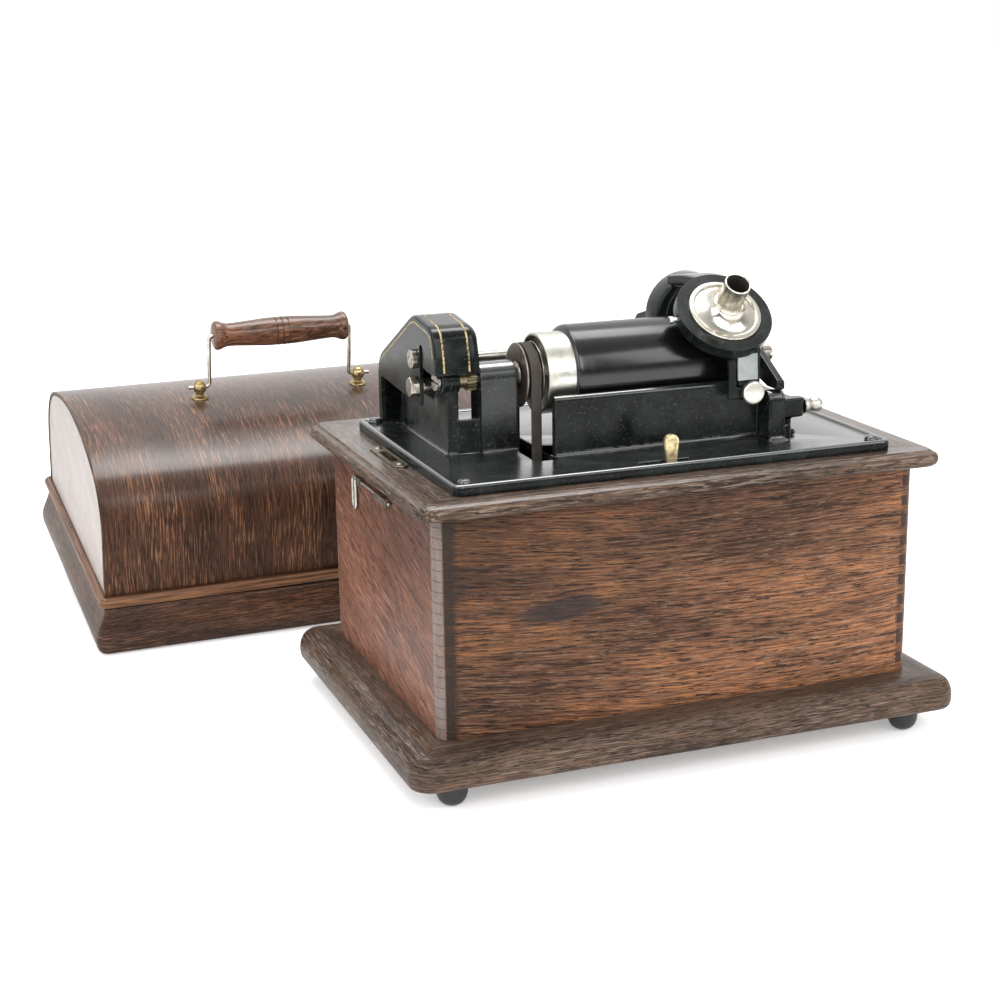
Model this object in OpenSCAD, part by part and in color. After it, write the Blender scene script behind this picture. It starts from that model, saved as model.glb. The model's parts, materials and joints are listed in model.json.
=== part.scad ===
// Cylinder phonograph with its carrying lid standing beside it.
// Millimetres, +Z up, the floor at z = 0, the front of the machine towards -Y.

/* [Case] */
// Width of the case across the front
case_w = 307; // [300:1:312]
// Depth of the case from front to back
case_d = 214; // [210:1:218]
// Height of the case boards
case_h = 132; // [126:1:140]
// Thickness of the case boards
wall = 10; // [9:0.5:11]
// Radius of the rounded upright corners of the case
case_corner_r = 8; // [5:0.5:9]
// Number of fingers in each corner joint
finger_count = 21; // [15:2:27]

/* [Base and feet] */
// How far the base stands out from the case
base_over = 24; // [20:1:28]
// Thickness of the base frame
base_h = 21; // [18:1:24]
// Radius of the base corners in plan
base_corner_r = 14; // [12:1:18]
// Height of the feet under the base
foot_h = 16; // [13:0.5:18]
// Radius of the domed feet
foot_r = 9.5; // [7:0.5:12]
// Distance of the feet from the ends of the base
foot_inset_x = 28.5; // [24:0.5:34]
// Distance of the feet from the front and back of the base
foot_inset_y = 20; // [18:0.5:26]
// Thickness of the floor board
floor_t = 6; // [4:0.5:8]

/* [Top moulding] */
// How far the top moulding stands out from the case
top_over = 13; // [10:0.5:15]
// Thickness of the top moulding
top_h = 10; // [9:0.5:12]
// Radius of the top moulding's corners in plan
top_corner_r = 12; // [10:1:15]
// Length of the lid slot plate
slot_plate_l = 56; // [50:1:62]
// Length of the slot for the lid hook
slot_l = 28; // [24:1:32]
// Width of the slot for the lid hook
slot_w = 5; // [4:0.5:6]

/* [Bed casting] */
// Margin from the side of the case to the bed plate
bed_margin_x = 14; // [13:0.5:16]
// Margin from the front and back of the case to the bed plate
bed_margin_y = 11.5; // [10:0.5:13]
// Offset of the bed plate from the middle of the case, across
bed_x = -1.7; // [-3:0.1:0]
// Offset of the bed plate from the middle of the case, front to back
bed_y = -9.6; // [-11:0.1:-8]
// Thickness of the bed plate without its rim
bed_t = 4.8; // [4:0.2:6]
// Height of the raised rim on the bed plate
rim_h = 1.6; // [1:0.2:2.2]
// How far the bed plate laps onto the top moulding
bed_lap = 10; // [8:0.5:12]
// Height of the front rail above the bed plate
rail_h = 33; // [28:0.5:36]
// Thickness of the front rail
rail_t = 6; // [4.5:0.5:7]
// Radius of the bearing cap on the mandrel pillar
cap_r = 9.5; // [8:0.5:11]

/* [Mandrel and record] */
// Height of the mandrel axis above the bed plate
axis_h = 44; // [42:0.5:47]
// Place of the mandrel axis, front to back
axis_y = -23; // [-24:0.5:-22]
// Radius of the mandrel at its large left end
mandrel_r = 24.6; // [24:0.1:25.2]
// Radius of the mandrel at its small right end
mandrel_end_r = 22; // [21:0.1:23]
// Outside radius of the record
record_r = 28; // [27:0.1:29]
// Length of the mandrel left bare at its large end
record_lead = 17.5; // [15.5:0.5:20]
// Length of the mandrel left bare at its small end
record_tail = 2.5; // [2:0.5:5]
// Radius of the mandrel shaft
shaft_r = 4; // [3.5:0.1:4.5]
// Radius of the pulley flanges
pulley_flange_r = 19.5; // [19:0.1:21]
// Radius of the pulley under the belt
pulley_r = 16.9; // [16:0.1:17.2]
// Width of the drive belt
belt_w = 6.2; // [5:0.2:7]
// Thickness of the drive belt
belt_t = 2.1; // [1.5:0.1:2.5]

/* [Feed gears] */
// Module of the feed gears
feed_m = 0.8; // [0.78:0.01:0.82]
// Teeth on the mandrel pinion
pinion_teeth = 16; // [15:1:17]
// Teeth on the idler gear
idler_teeth = 48; // [46:1:50]
// Teeth on the feed screw gear
feed_teeth = 32; // [30:1:34]
// Radius of the feed screw
feed_r = 3.5; // [3.2:0.1:4]
// Radius of the back rod that the carriage slides on
back_rod_r = 4; // [3.5:0.1:4.5]

/* [Carriage and reproducer] */
// Distance of the reproducer from the small end of the record
carriage_back = 16.5; // [14:0.5:18]
// Lean of the reproducer towards the front, in degrees
rep_lean = 41; // [39:0.5:43]
// Outside radius of the reproducer's ring
ring_r = 30; // [29:0.5:31]
// Radius of the seat in the ring
ring_seat_r = 24.6; // [24:0.1:25]
// Thickness of the ring
ring_t = 7; // [6:0.5:7.5]
// Outside radius of the neck that takes the horn
neck_r = 7.9; // [7:0.1:8.5]
// Bore radius of the neck
neck_bore_r = 7; // [6:0.1:7.2]
// Length of the neck above the ring
neck_l = 26; // [22:0.5:30]

/* [Motor] */
// Module of the motor wheels
motor_m = 1.25; // [1.22:0.01:1.27]
// Teeth on the barrel wheel
barrel_teeth = 64; // [62:1:65]
// Teeth on the pinion of the second arbor
second_pinion_teeth = 16; // [15:1:17]
// Teeth on the large motor wheels
wheel_teeth = 48; // [46:1:49]
// Teeth on the small motor pinions
small_pinion_teeth = 12; // [11:1:13]
// Radius of the winding shaft
winding_r = 5; // [4.5:0.1:5.5]
// Radius of the winding shaft's end outside the case
winding_end_r = 4.6; // [4:0.1:4.8]
// Length of the winding shaft outside the case
winding_out = 14; // [10:0.5:18]

/* [Lid] */
// Width of the lid over its moulding
lid_w = 332; // [322:1:333]
// Depth of the lid over its moulding
lid_d = 236; // [228:1:240]
// Height of the lid's moulding
lid_skirt_h = 43; // [38:0.5:46]
// Straight height of the lid's side above the moulding
lid_side_h = 41.5; // [36:0.5:48]
// Radius of the lid's shoulders
lid_shoulder_r = 46.5; // [40:0.5:52]
// Thickness of the bent lid board
lid_t = 5; // [4:0.5:6]
// Thickness of the lid's end boards
lid_end_t = 8; // [6:0.5:10]
// Reach of the lid hooks below the lid
hook_drop = 20; // [16:0.5:22]
// Turn of the standing lid against the machine, in degrees
lid_yaw = 1.8; // [0:0.1:3]
// Distance between the two handle posts
post_gap = 124; // [116:1:132]
// Height of the handle's grip above the posts
grip_h = 39.5; // [34:0.5:44]
// Largest radius of the turned grip
grip_r = 10.8; // [9:0.2:12]

/* [Hidden] */
$fn = 64;
// Running clearance of a shaft in its bore
run = 0.05;
// Clearance between pieces that pass each other
clear = 0.3;

// Levels of the machine, from the floor up
z_base = foot_h;
z_case = z_base + base_h;
z_top = z_case + case_h;
z_deck = z_top + top_h;
z_bed = z_deck + bed_t;
axis_z = z_bed + axis_h;
base_w = case_w + 2 * base_over;
base_d = case_d + 2 * base_over;
top_w = case_w + 2 * top_over;
top_d = case_d + 2 * top_over;
bed_w = case_w - 2 * bed_margin_x;
bed_d = case_d - 2 * bed_margin_y;
bed_left = bed_x - bed_w / 2;
bed_right = bed_x + bed_w / 2;
bed_front = bed_y - bed_d / 2;
bed_back = bed_y + bed_d / 2;
function span(from, low, high) = [from + low, from + high];

// The lid stands on its front lower edge and on the tips of its two hooks
lid_bulge = 5;
lid_corner_r = 8;
lid_bottom_d = lid_d - 2 * lid_bulge;
hook_tip_r = 7;
hook_stem = hook_drop - hook_tip_r;
lid_half = lid_bottom_d / 2;
lid_tilt = atan2(hook_stem, lid_half) + asin(hook_tip_r / norm([lid_half, hook_stem]));
// Middle of the lid's front lower edge, from the middle of the machine
lid_front = [-132.2, 231.6];

// The origin lies under the middle of the machine and lid together
lid_bulge_z = 9;
corner_half = [lid_w / 2 - lid_corner_r, lid_d / 2 - lid_corner_r];
function lid_point(p) =
    let (y = (p[1] + lid_half) * cos(lid_tilt) - p[2] * sin(lid_tilt))
    [lid_front[0] + p[0] * cos(lid_yaw) - y * sin(lid_yaw),
     lid_front[1] + p[0] * sin(lid_yaw) + y * cos(lid_yaw)];
lid_left = lid_point([-corner_half[0], corner_half[1], lid_bulge_z])[0] - lid_corner_r;
lid_back = lid_point([corner_half[0], corner_half[1], lid_bulge_z])[1] + lid_corner_r;
machine_x = -(lid_left + base_w / 2) / 2;
machine_y = -(lid_back - base_d / 2) / 2;

WOOD = "#5b3522";
LID_WOOD = "#6b4030";
JAPAN = "#171c1b";
NICKEL = "#c9c4b6";
STEEL = "#8f9193";
BRASS = "#a98a4b";
RUBBER = "#26221f";
LEATHER = "#6a5040";

module machine() {
    translate([machine_x, machine_y, 0]) children();
}

module lid_place() {
    machine() translate([lid_front[0], lid_front[1], 0]) rotate([0, 0, lid_yaw])
        rotate([lid_tilt, 0, 0]) translate([0, lid_half, 0]) children();
}

module block(low, high) {
    translate(low) cube(high - low);
}

module rod_x(x0, x1, at, r) {
    translate([x0, at[0], at[1]]) rotate([0, 90, 0]) cylinder(h = x1 - x0, r = r);
}

module rod_y(y0, y1, at, r) {
    translate([at[0], y0, at[1]]) rotate([-90, 0, 0]) cylinder(h = y1 - y0, r = r);
}

module rod_z(z0, z1, at, r) {
    translate([at[0], at[1], z0]) cylinder(h = z1 - z0, r = r);
}

// A drawing in y and z, given its thickness along X
module slab_x(x0, x1) {
    translate([x0, 0, 0]) rotate([90, 0, 90]) linear_extrude(x1 - x0) children();
}

// A drawing in x and z, given its thickness along Y
module slab_y(y0, y1) {
    translate([0, y1, 0]) rotate([90, 0, 0]) linear_extrude(y1 - y0) children();
}

// A profile of radius and place, turned round an axis along X
module turned_x(at) {
    translate([0, at[0], at[1]]) rotate([0, 90, 0]) rotate([0, 0, 90]) rotate_extrude() children();
}

function arc(c, r, a0, a1, n) =
    [for (k = [0:n]) c + r * [cos(a0 + (a1 - a0) * k / n), sin(a0 + (a1 - a0) * k / n)]];

module rounded_plan(w, d, r) {
    square([w - 2 * r, d], center = true);
    square([w, d - 2 * r], center = true);
    for (x = [-1, 1], y = [-1, 1]) translate([x * (w / 2 - r), y * (d / 2 - r)]) circle(r);
}

// A moulding run round a rectangle: the profile's x is measured out from the corner axes
module moulded_ring(w, d, r) {
    for (k = [0:3]) rotate(90 * k) {
        along = k % 2 == 0 ? w : d;
        across = k % 2 == 0 ? d : w;
        translate([along / 2 - r, across / 2 - r, 0]) {
            rotate([90, 0, 0]) linear_extrude(across - 2 * r) children();
            rotate_extrude(angle = 90) children();
        }
    }
}

// The flat frame inside a moulding, with a hole of the given size and place
module inner_frame(w, d, h, hole, at) {
    linear_extrude(h) difference() {
        square([w, d], center = true);
        translate(at) square(hole, center = true);
    }
}

// Gear outline with narrow straight-sided teeth, one tooth at the given angle
tooth_share = 0.40;
module gear_plan(m, teeth, phase) {
    pitch_r = m * teeth / 2;
    tip_r = pitch_r + 0.85 * m;
    root_r = pitch_r - 1.15 * m;
    pitch = 360 / teeth;
    half = pitch * tooth_share / 2;
    tip = half * 0.55;
    foot = half * 1.25;
    polygon([for (k = [0:teeth - 1])
        for (p = [[root_r, -foot], [tip_r, -tip], [tip_r, tip], [root_r, foot]])
            p[0] * [cos(phase + k * pitch + p[1]), sin(phase + k * pitch + p[1])]]);
}

// Angle of a tooth on the driven gear so that it meshes with the driver's tooth at angle a
function mesh_phase(theta, a, driver, driven) =
    theta + 180 + (theta - a) * driver / driven + 180 / driven;

module gear_x(x0, x1, at, m, teeth, phase) {
    slab_x(x0, x1) translate(at) gear_plan(m, teeth, phase);
}

// Case boards with finger joints

finger_h = case_h / finger_count;

function finger_edge(outer, inner) =
    [for (k = [0:finger_count - 1]) for (j = [0, 1])
        [k % 2 == 0 ? outer : inner, z_case + finger_h * (k + j)]];

function mirror_back(points) =
    [for (k = [len(points) - 1:-1:0]) [-points[k][0], points[k][1]]];

module board_outline(half, first_out) {
    outer = first_out ? half : half - wall;
    inner = first_out ? half - wall : half;
    edge = finger_edge(outer, inner);
    polygon(concat(edge, mirror_back(edge)));
}

module case_plan() {
    translate([0, 0, z_case]) linear_extrude(case_h) rounded_plan(case_w, case_d, case_corner_r);
}

module front_board(side) {
    color(WOOD) machine() intersection() {
        case_plan();
        if (side < 0) slab_y(-case_d / 2, -case_d / 2 + wall) board_outline(case_w / 2, true);
        else slab_y(case_d / 2 - wall, case_d / 2) board_outline(case_w / 2, true);
    }
}

module side_board(side) {
    intersection() {
        case_plan();
        if (side < 0) slab_x(-case_w / 2, -case_w / 2 + wall) board_outline(case_d / 2, false);
        else slab_x(case_w / 2 - wall, case_w / 2) board_outline(case_d / 2, false);
    }
}

module case_front() {
    front_board(-1);
}

module case_back() {
    front_board(1);
}

// The mortise below the slot plate takes the lid's hook
mortise_depth = hook_drop - top_h + 3;
hook_x = case_w / 2 - wall / 2 - 1.8;

module mortise(side) {
    block([side * hook_x - slot_w / 2, -slot_l / 2, z_top - mortise_depth],
          [side * hook_x + slot_w / 2, slot_l / 2, z_deck + 1]);
}

module case_left() {
    color(WOOD) machine() difference() {
        side_board(-1);
        mortise(-1);
    }
}

winding_at = [28, z_base + 72];

module case_right() {
    color(WOOD) machine() difference() {
        side_board(1);
        mortise(1);
        rod_x(case_w / 2 - wall - 1, case_w / 2 + 1, winding_at, winding_r + 1.5);
    }
}

// Base, floor board and feet

base_nose = 9;
base_hole = [case_w - 3 * wall, case_d - 3 * wall];

module base_profile() {
    r = base_corner_r;
    polygon(concat([[0, 0]], arc([r - 5, 5], 5, -90, 0, 6),
        arc([r - base_nose, base_h - base_nose - 1], base_nose, 0, 80, 8), [[0, base_h]]));
}

module base_moulding() {
    color(WOOD) machine() translate([0, 0, z_base]) {
        moulded_ring(base_w, base_d, base_corner_r) base_profile();
        inner_frame(base_w - 2 * base_corner_r, base_d - 2 * base_corner_r, base_h, base_hole, [0, 0]);
    }
}

module floor_panel() {
    color(WOOD) machine() block(
        [-base_hole[0] / 2 + clear, -base_hole[1] / 2 + clear, z_base],
        [base_hole[0] / 2 - clear, base_hole[1] / 2 - clear, z_base + floor_t]);
}

module feet() {
    dome_z = min(foot_r, foot_h - 2);
    color(RUBBER) machine() for (x = [-1, 1], y = [-1, 1])
        translate([x * (base_w / 2 - foot_inset_x), y * (base_d / 2 - foot_inset_y), 0])
            rotate_extrude() polygon(concat([[0, 0]],
                [for (p = arc([0, dome_z], 1, -84, 0, 9)) [p[0] * foot_r,
                    dome_z + (p[1] - dome_z) * dome_z]],
                [[foot_r, foot_h], [0, foot_h]]));
}

// Top moulding with the plates, slots and spring latch for the lid

bed_hole = [bed_w - 2 * bed_lap, bed_d - 2 * bed_lap];

module top_profile() {
    r = top_corner_r;
    nose = top_h * 0.42;
    polygon(concat([[0, 0]], arc([r - nose, nose], nose, -90, 75, 10),
        [[r - nose - 1.2, top_h - 0.4], [r - nose - 1.6, top_h], [0, top_h]]));
}

module top_moulding() {
    color(WOOD) machine() difference() {
        translate([0, 0, z_top]) {
            moulded_ring(top_w, top_d, top_corner_r) top_profile();
            inner_frame(top_w - 2 * top_corner_r, top_d - 2 * top_corner_r, top_h, bed_hole,
                [bed_x, bed_y]);
        }
        mortise(-1);
        mortise(1);
        for (p = bed_screw_at) rod_z(z_deck - screw_depth, z_deck + 1, p, bed_screw_r);
    }
}

plate_t = 1.2;
plate_w = 9.5;
plate_screw_y = slot_plate_l / 2 - 6;

module slot_plate() {
    color(NICKEL) machine() translate([-hook_x, 0, z_deck]) {
        linear_extrude(plate_t) difference() {
            union() {
                square([plate_w, slot_plate_l - plate_w], center = true);
                for (y = [-1, 1]) translate([0, y * (slot_plate_l - plate_w) / 2]) circle(d = plate_w);
            }
            square([slot_w, slot_l], center = true);
        }
        for (y = [-1, 1]) translate([0, y * plate_screw_y, plate_t]) cylinder(h = 0.9, r1 = 2.6,
            r2 = 1.6);
    }
}

// The latch is a spring wire along the left board, with a thumb loop at its back end
wire_r = 1.1;
latch_x = -case_w / 2 - wire_r - clear;
latch_z = z_top - 12;
latch_y = [-25, 40];
loop_y = 49;
loop_drop = 20;
staple_y = [[-23, -1], [33, 38]];

module lid_latch() {
    color(NICKEL) machine() {
        rod_y(latch_y[0], latch_y[1], [latch_x, latch_z], wire_r);
        for (p = [[latch_y[1], latch_z], [loop_y + 3, latch_z], [loop_y - 3, latch_z - loop_drop],
                  [loop_y + 3, latch_z - loop_drop]])
            translate([latch_x, p[0], p[1]]) sphere(wire_r);
        rod_y(latch_y[1], loop_y + 3, [latch_x, latch_z], wire_r);
        rod_y(loop_y - 3, loop_y + 3, [latch_x, latch_z - loop_drop], wire_r);
        for (y = [loop_y - 3, loop_y + 3])
            rod_z(latch_z - loop_drop, latch_z, [latch_x, y], wire_r);
    }
}

module latch_staples() {
    color(NICKEL) machine() for (y = staple_y) difference() {
        block([latch_x - wire_r - 1.2, y[0], latch_z - 2.6], [-case_w / 2, y[1], latch_z + 2.6]);
        rod_y(y[0] - 1, y[1] + 1, [latch_x, latch_z], wire_r + run);
    }
}

// Bed casting: plate, rim, rail, gear web, mandrel pillar, bearings and posts

function above(h) = z_bed + h;
axis = [axis_y, axis_z];
// Places along the bed: the gears and the pillar go with its left end, the gate with its right end
cover_x = span(bed_left, 13.2, 42.4);
web_x = span(cover_x[0], 9.6, 16.6);
gear_band = span(web_x[1], 6.8, 11.8);
pillar_x = span(cover_x[1], clear, 23.2);
belt_x = pillar_x[1] + 8.5;
mandrel_x = pillar_x[1] + 14.6;
plate_x = span(belt_x, 17.1, 115.1);
disc_x = span(plate_x[0], 58, 60);
end_post_x = span(bed_right, -29.8, -21.8);
shaft_end = end_post_x[0] - 36;
gate_x = span(shaft_end, 4, 10);
gate_post_x = span(shaft_end, -1.2, 9.8);
rail_x = [mandrel_x - 1, gate_post_x[0] + 0.2];
mandrel_l = shaft_end - 2 - mandrel_x;
record_x = mandrel_x + record_lead;
record_l = mandrel_l - record_lead - record_tail;
carriage_x = record_x + record_l - carriage_back;
rail_y = -58.6;
idler_a = 23.7;
feed_a = -15;
idler_at = axis + feed_m * (pinion_teeth + idler_teeth) / 2 * [cos(idler_a), sin(idler_a)];
feed_at = idler_at + feed_m * (idler_teeth + feed_teeth) / 2 * [cos(feed_a), sin(feed_a)];
back_rod_at = [56, above(29)];
rod_post_x = span(pillar_x[0], 2.5, 10.5);
gate_post_h = 30.5;
belt_slot_x = span(pillar_x[1], -0.7, 13);
belt_slot_y = [-63, 4];
start_slot_y = bed_front + 13.7;
start_slot_w = 5;
bed_corner_r = 6;
bed_screw_inset = [9.2, 9.2];
bed_screw_r = 1.8;
screw_depth = 8;
bed_screw_at = [for (x = [-1, 1], y = [-1, 1])
    [bed_x + x * (bed_w / 2 - bed_screw_inset[0]), bed_y + y * (bed_d / 2 - bed_screw_inset[1])]];
gate_pin_at = [shaft_end + 7, 34];
gate_pin_r = 3;
stud_r = 3;
bolt_at = [-2, above(37.8)];
bolt_r = 3;

module bed_rim() {
    polygon(concat([[bed_corner_r - 4.5, 0]], [[bed_corner_r, 0]],
        arc([bed_corner_r - 2.2, bed_t - 0.6], 2.2, 0, 180, 8)));
}

module gear_web() {
    slab_x(web_x[0], web_x[1]) polygon([[-28.8, z_bed - 1], [-28.8, above(47)], [-10, above(66)],
        [18, above(66)], [cover_back - 20.5, above(32)], [cover_back - 14.5, z_bed - 1]]);
    rod_x(web_x[0] - 3, web_x[1] + 1, axis, shaft_r + 3.6);
    rod_x(web_x[0], web_x[1] + 2, feed_at, feed_r + 3);
}

module mandrel_pillar() {
    block([pillar_x[0], axis_y - cap_r, z_bed - 1], [pillar_x[1], axis_y + cap_r, axis_z]);
    rod_x(pillar_x[0], pillar_x[1], axis, cap_r);
    block([web_x[1] - 1, axis_y - 6.5, z_bed - 1], [pillar_x[0] + 1, axis_y - 2, above(21)]);
}

module rear_bearings() {
    block([end_post_x[0], feed_at[0] - 7, z_bed - 1],
        [end_post_x[1], back_rod_at[0] + 9, back_rod_at[1]]);
    rod_x(end_post_x[0], end_post_x[1], back_rod_at, 9);
    block([end_post_x[0], feed_at[0] - 7, z_bed - 1], [end_post_x[1], feed_at[0] + 7, feed_at[1]]);
    rod_x(end_post_x[0], end_post_x[1], feed_at, 7);
    block([rod_post_x[0], back_rod_at[0] - 8, z_bed - 1],
        [rod_post_x[1], back_rod_at[0] + 8, back_rod_at[1]]);
    rod_x(rod_post_x[0], rod_post_x[1], back_rod_at, 8);
}

module gate_post() {
    block([gate_post_x[0], -74, z_bed - 1], [gate_post_x[1], -61, above(gate_post_h - 4)]);
    rod_x(gate_post_x[0], gate_post_x[1], [-67.5, above(gate_post_h - 6.5)], 6.5);
    block([gate_post_x[0], -62, z_bed - 1], [gate_post_x[0] + 6, rail_y + rail_t, above(22)]);
    rod_z(z_bed - 1, above(9), [gate_post_x[1] + 2, -69], 4);
    rod_z(z_bed - 1, above(12.5), gate_pin_at, 8);
    rod_z(z_bed - 1, above(37), gate_pin_at, gate_pin_r);
}

module bed_casting() {
    color(JAPAN) machine() difference() {
        union() {
            translate([bed_x, bed_y, z_deck]) {
                linear_extrude(bed_t) rounded_plan(bed_w - 4, bed_d - 4, bed_corner_r - 2);
                moulded_ring(bed_w, bed_d, bed_corner_r) bed_rim();
            }
            block([rail_x[0], rail_y, z_bed - 1], [rail_x[1], rail_y + rail_t, above(rail_h)]);
            rod_x(rail_x[0], rail_x[1], [rail_y + rail_t / 2, above(rail_h)], rail_t / 2);
            gear_web();
            mandrel_pillar();
            rear_bearings();
            gate_post();
        }
        rod_x(web_x[0] - 4, pillar_x[1] + 1, axis, shaft_r + run);
        rod_x(web_x[0] - 1, web_x[1] + 3, feed_at, feed_r - 0.5 + run);
        rod_x(end_post_x[0] - 1, end_post_x[1] + 1, feed_at, feed_r - 0.5 + run);
        rod_x(end_post_x[0] - 1, end_post_x[1] + 1, back_rod_at, back_rod_r);
        rod_x(rod_post_x[0] - 1, rod_post_x[1] + 1, back_rod_at, back_rod_r);
        rod_x(web_x[0] - 1, web_x[1] + 1, idler_at, stud_r);
        rod_x(web_x[0] - 1, web_x[1] + 1, bolt_at, bolt_r);
        block([belt_slot_x[0], belt_slot_y[0], z_deck - 1], [belt_slot_x[1], belt_slot_y[1], z_bed + 1]);
        block([start_slot_x[0], start_slot_y - start_slot_w / 2, z_deck - 1],
              [start_slot_x[1], start_slot_y + start_slot_w / 2, z_bed + 1]);
        for (p = bed_screw_at) rod_z(z_deck - 1, z_bed + rim_h + 2, p, bed_screw_r + clear);
        latch_cut();
    }
}

module bed_screws() {
    color(JAPAN) machine() for (p = bed_screw_at) translate([p[0], p[1], 0]) {
        translate([0, 0, z_deck - screw_depth]) cylinder(h = screw_depth + bed_t, r = bed_screw_r);
        difference() {
            translate([0, 0, z_bed]) cylinder(h = 2.6, r1 = 4.2, r2 = 3);
            translate([-5, -0.6, z_bed + 1.6]) cube([10, 1.2, 2]);
        }
    }
}

// Gear cover: a thin hood over the feed gears, fastened to the web
cover_t = 2.4;
cover_back = bed_back - 5.4;

function cover_outline(t) = [
    [-37 + t, above(50)], [-36 + t, above(60)], [-32 + t, above(73.5) - t], [-26 + t / 2, above(77.2) - t],
    [2, above(80.6) - t], [9 - t / 3, above(79) - t], [cover_back - 10.5 - t / 3, above(48) - t],
    [cover_back - 3.5 - t, above(43) - t / 2], [cover_back - t, above(35)],
        [cover_back - t, z_bed + clear]];

module gear_cover() {
    color(JAPAN) machine() difference() {
        slab_x(cover_x[0], cover_x[1]) polygon(concat(cover_outline(0), [[-37, z_bed + clear]]));
        slab_x(cover_x[0] + cover_t, cover_x[1] + 1)
            polygon(concat([[-37 + cover_t, z_bed - 1]], cover_outline(cover_t),
                [[cover_back - cover_t, z_bed - 1]]));
        slab_x(cover_x[0] - 1, cover_x[1] + 1) polygon([[-40, z_bed - 1], [-40, above(50)],
            [-20, above(50)],
            [-20, above(28)], [-8, above(26)], [26, above(26)], [cover_back - 14.5, above(31)],
            [cover_back - 7.5, above(31)], [cover_back - 7.5, z_bed - 1]]);
        slab_x(cover_x[0] - 1, cover_x[0] + cover_t + 1) {
            translate([-10.5, above(61)]) circle(3.6);
            translate([-14.1, above(49)]) square([7.2, 12]);
            translate([-22, above(30)]) square([15, 21]);
        }
        rod_x(cover_x[0] - 1, cover_x[0] + cover_t + 1, idler_at, stud_r);
        rod_x(cover_x[0] - 1, cover_x[0] + cover_t + 1, bolt_at, bolt_r);
    }
}

module hex_x(x0, x1, at, r) {
    translate([x0, at[0], at[1]]) rotate([0, 90, 0]) cylinder(h = x1 - x0, r = r, $fn = 6);
}

module cover_bolt() {
    color(NICKEL) machine() {
        hex_x(cover_x[0] - 5.5, cover_x[0], bolt_at, 6.4);
        rod_x(cover_x[0], web_x[1], bolt_at, bolt_r);
        rod_x(cover_x[0] + cover_t, web_x[0], bolt_at, 5);
    }
}

module idler_stud() {
    color(NICKEL) machine() difference() {
        union() {
            rod_x(cover_x[0] - 3.5, cover_x[0], idler_at, 5.8);
            rod_x(cover_x[0], gear_band[1] + 0.5, idler_at, stud_r);
            rod_x(cover_x[0] + cover_t, web_x[0], idler_at, 4.6);
            rod_x(web_x[1], gear_band[0] - clear, idler_at, 4.6);
        }
        for (y = [-3.6, 3.6]) rod_x(cover_x[0] - 4, cover_x[0] - 1.5, idler_at + [y, 0], 0.9);
    }
}

// Mandrel, record, pulley and feed gears

mandrel_wall = 2;
mandrel_recess = 6;
hub_r = 8;

function mandrel_radius(x) = mandrel_r + (mandrel_end_r - mandrel_r) * (x - mandrel_x) / mandrel_l;

module mandrel_shaft() {
    color(STEEL) machine() difference() {
        union() {
            rod_x(web_x[0] - 5, shaft_end, axis, shaft_r);
            rod_x(web_x[0] - 6, web_x[0] - 3 - clear, axis, shaft_r + 1.6);
        }
        translate([shaft_end - 4, axis[0], axis[1]]) rotate([0, 90, 0]) cylinder(h = 4.01, r1 = 0.4,
            r2 = 2.8);
        block([web_x[0] - 7, axis_y - 6, axis_z - 0.7], [web_x[0] - 4.6, axis_y + 6, axis_z + 0.7]);
    }
}

module mandrel() {
    x1 = mandrel_x + mandrel_l;
    inner = x1 - 8;
    color(NICKEL) machine() turned_x(axis) polygon([
        [shaft_r, mandrel_x + mandrel_recess], [mandrel_r - mandrel_wall, mandrel_x + mandrel_recess],
        [mandrel_r - mandrel_wall, mandrel_x], [mandrel_r - 0.5, mandrel_x], [mandrel_r, mandrel_x + 0.5],
        [mandrel_end_r, x1 - 1.5], [mandrel_end_r - 1.5, x1], [shaft_r, x1], [shaft_r, inner - 2],
        [mandrel_radius(inner) - mandrel_wall, inner - 2],
        [mandrel_radius(mandrel_x + mandrel_recess + 3) - mandrel_wall, mandrel_x + mandrel_recess + 3],
        [shaft_r, mandrel_x + mandrel_recess + 3]]);
}

module record() {
    x1 = record_x + record_l;
    gap = 0.1;
    color("#121314") machine() turned_x(axis) polygon([
        [mandrel_radius(record_x) + gap, record_x], [record_r - 1.6, record_x],
            [record_r - 0.2, record_x + 1.8],
        [record_r, record_x + 2.4], [record_r, x1 - 2.4], [record_r - 0.2, x1 - 1.8],
            [record_r - 1.6, x1],
        [mandrel_radius(x1) + gap, x1]]);
}

// Two flanged discs with the belt between them
belt_room = belt_w + 2.6;
flange_t = 1.2;

module pulley(at) {
    x0 = belt_x - belt_room / 2;
    x1 = belt_x + belt_room / 2;
    turned_x(at) polygon([
        [shaft_r, x0 - flange_t - 2], [hub_r - 1, x0 - flange_t - 2], [hub_r, x0 - flange_t],
        [pulley_flange_r, x0 - flange_t], [pulley_flange_r, x0], [pulley_r, x0 + 0.4],
        [pulley_r, x1 - 0.4], [pulley_flange_r, x1], [pulley_flange_r, x1 + flange_t],
            [shaft_r, x1 + flange_t]]);
}

module mandrel_pulley() {
    color(STEEL) machine() pulley(axis);
}

module mandrel_gear() {
    color(BRASS) machine() difference() {
        union() {
            gear_x(gear_band[0] - 0.5, gear_band[1] + 0.3, axis, feed_m, pinion_teeth, idler_a);
            rod_x(web_x[1] + 1 + clear, gear_band[0] - 0.5, axis, shaft_r + 1.1);
        }
        rod_x(web_x[1], gear_band[1] + 1, axis, shaft_r);
    }
}

// The idler's teeth fit the pinion's, and the feed gear's teeth fit the idler's
idler_phase = mesh_phase(idler_a, idler_a, pinion_teeth, idler_teeth);
feed_phase = mesh_phase(feed_a, idler_phase, idler_teeth, feed_teeth);

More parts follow.
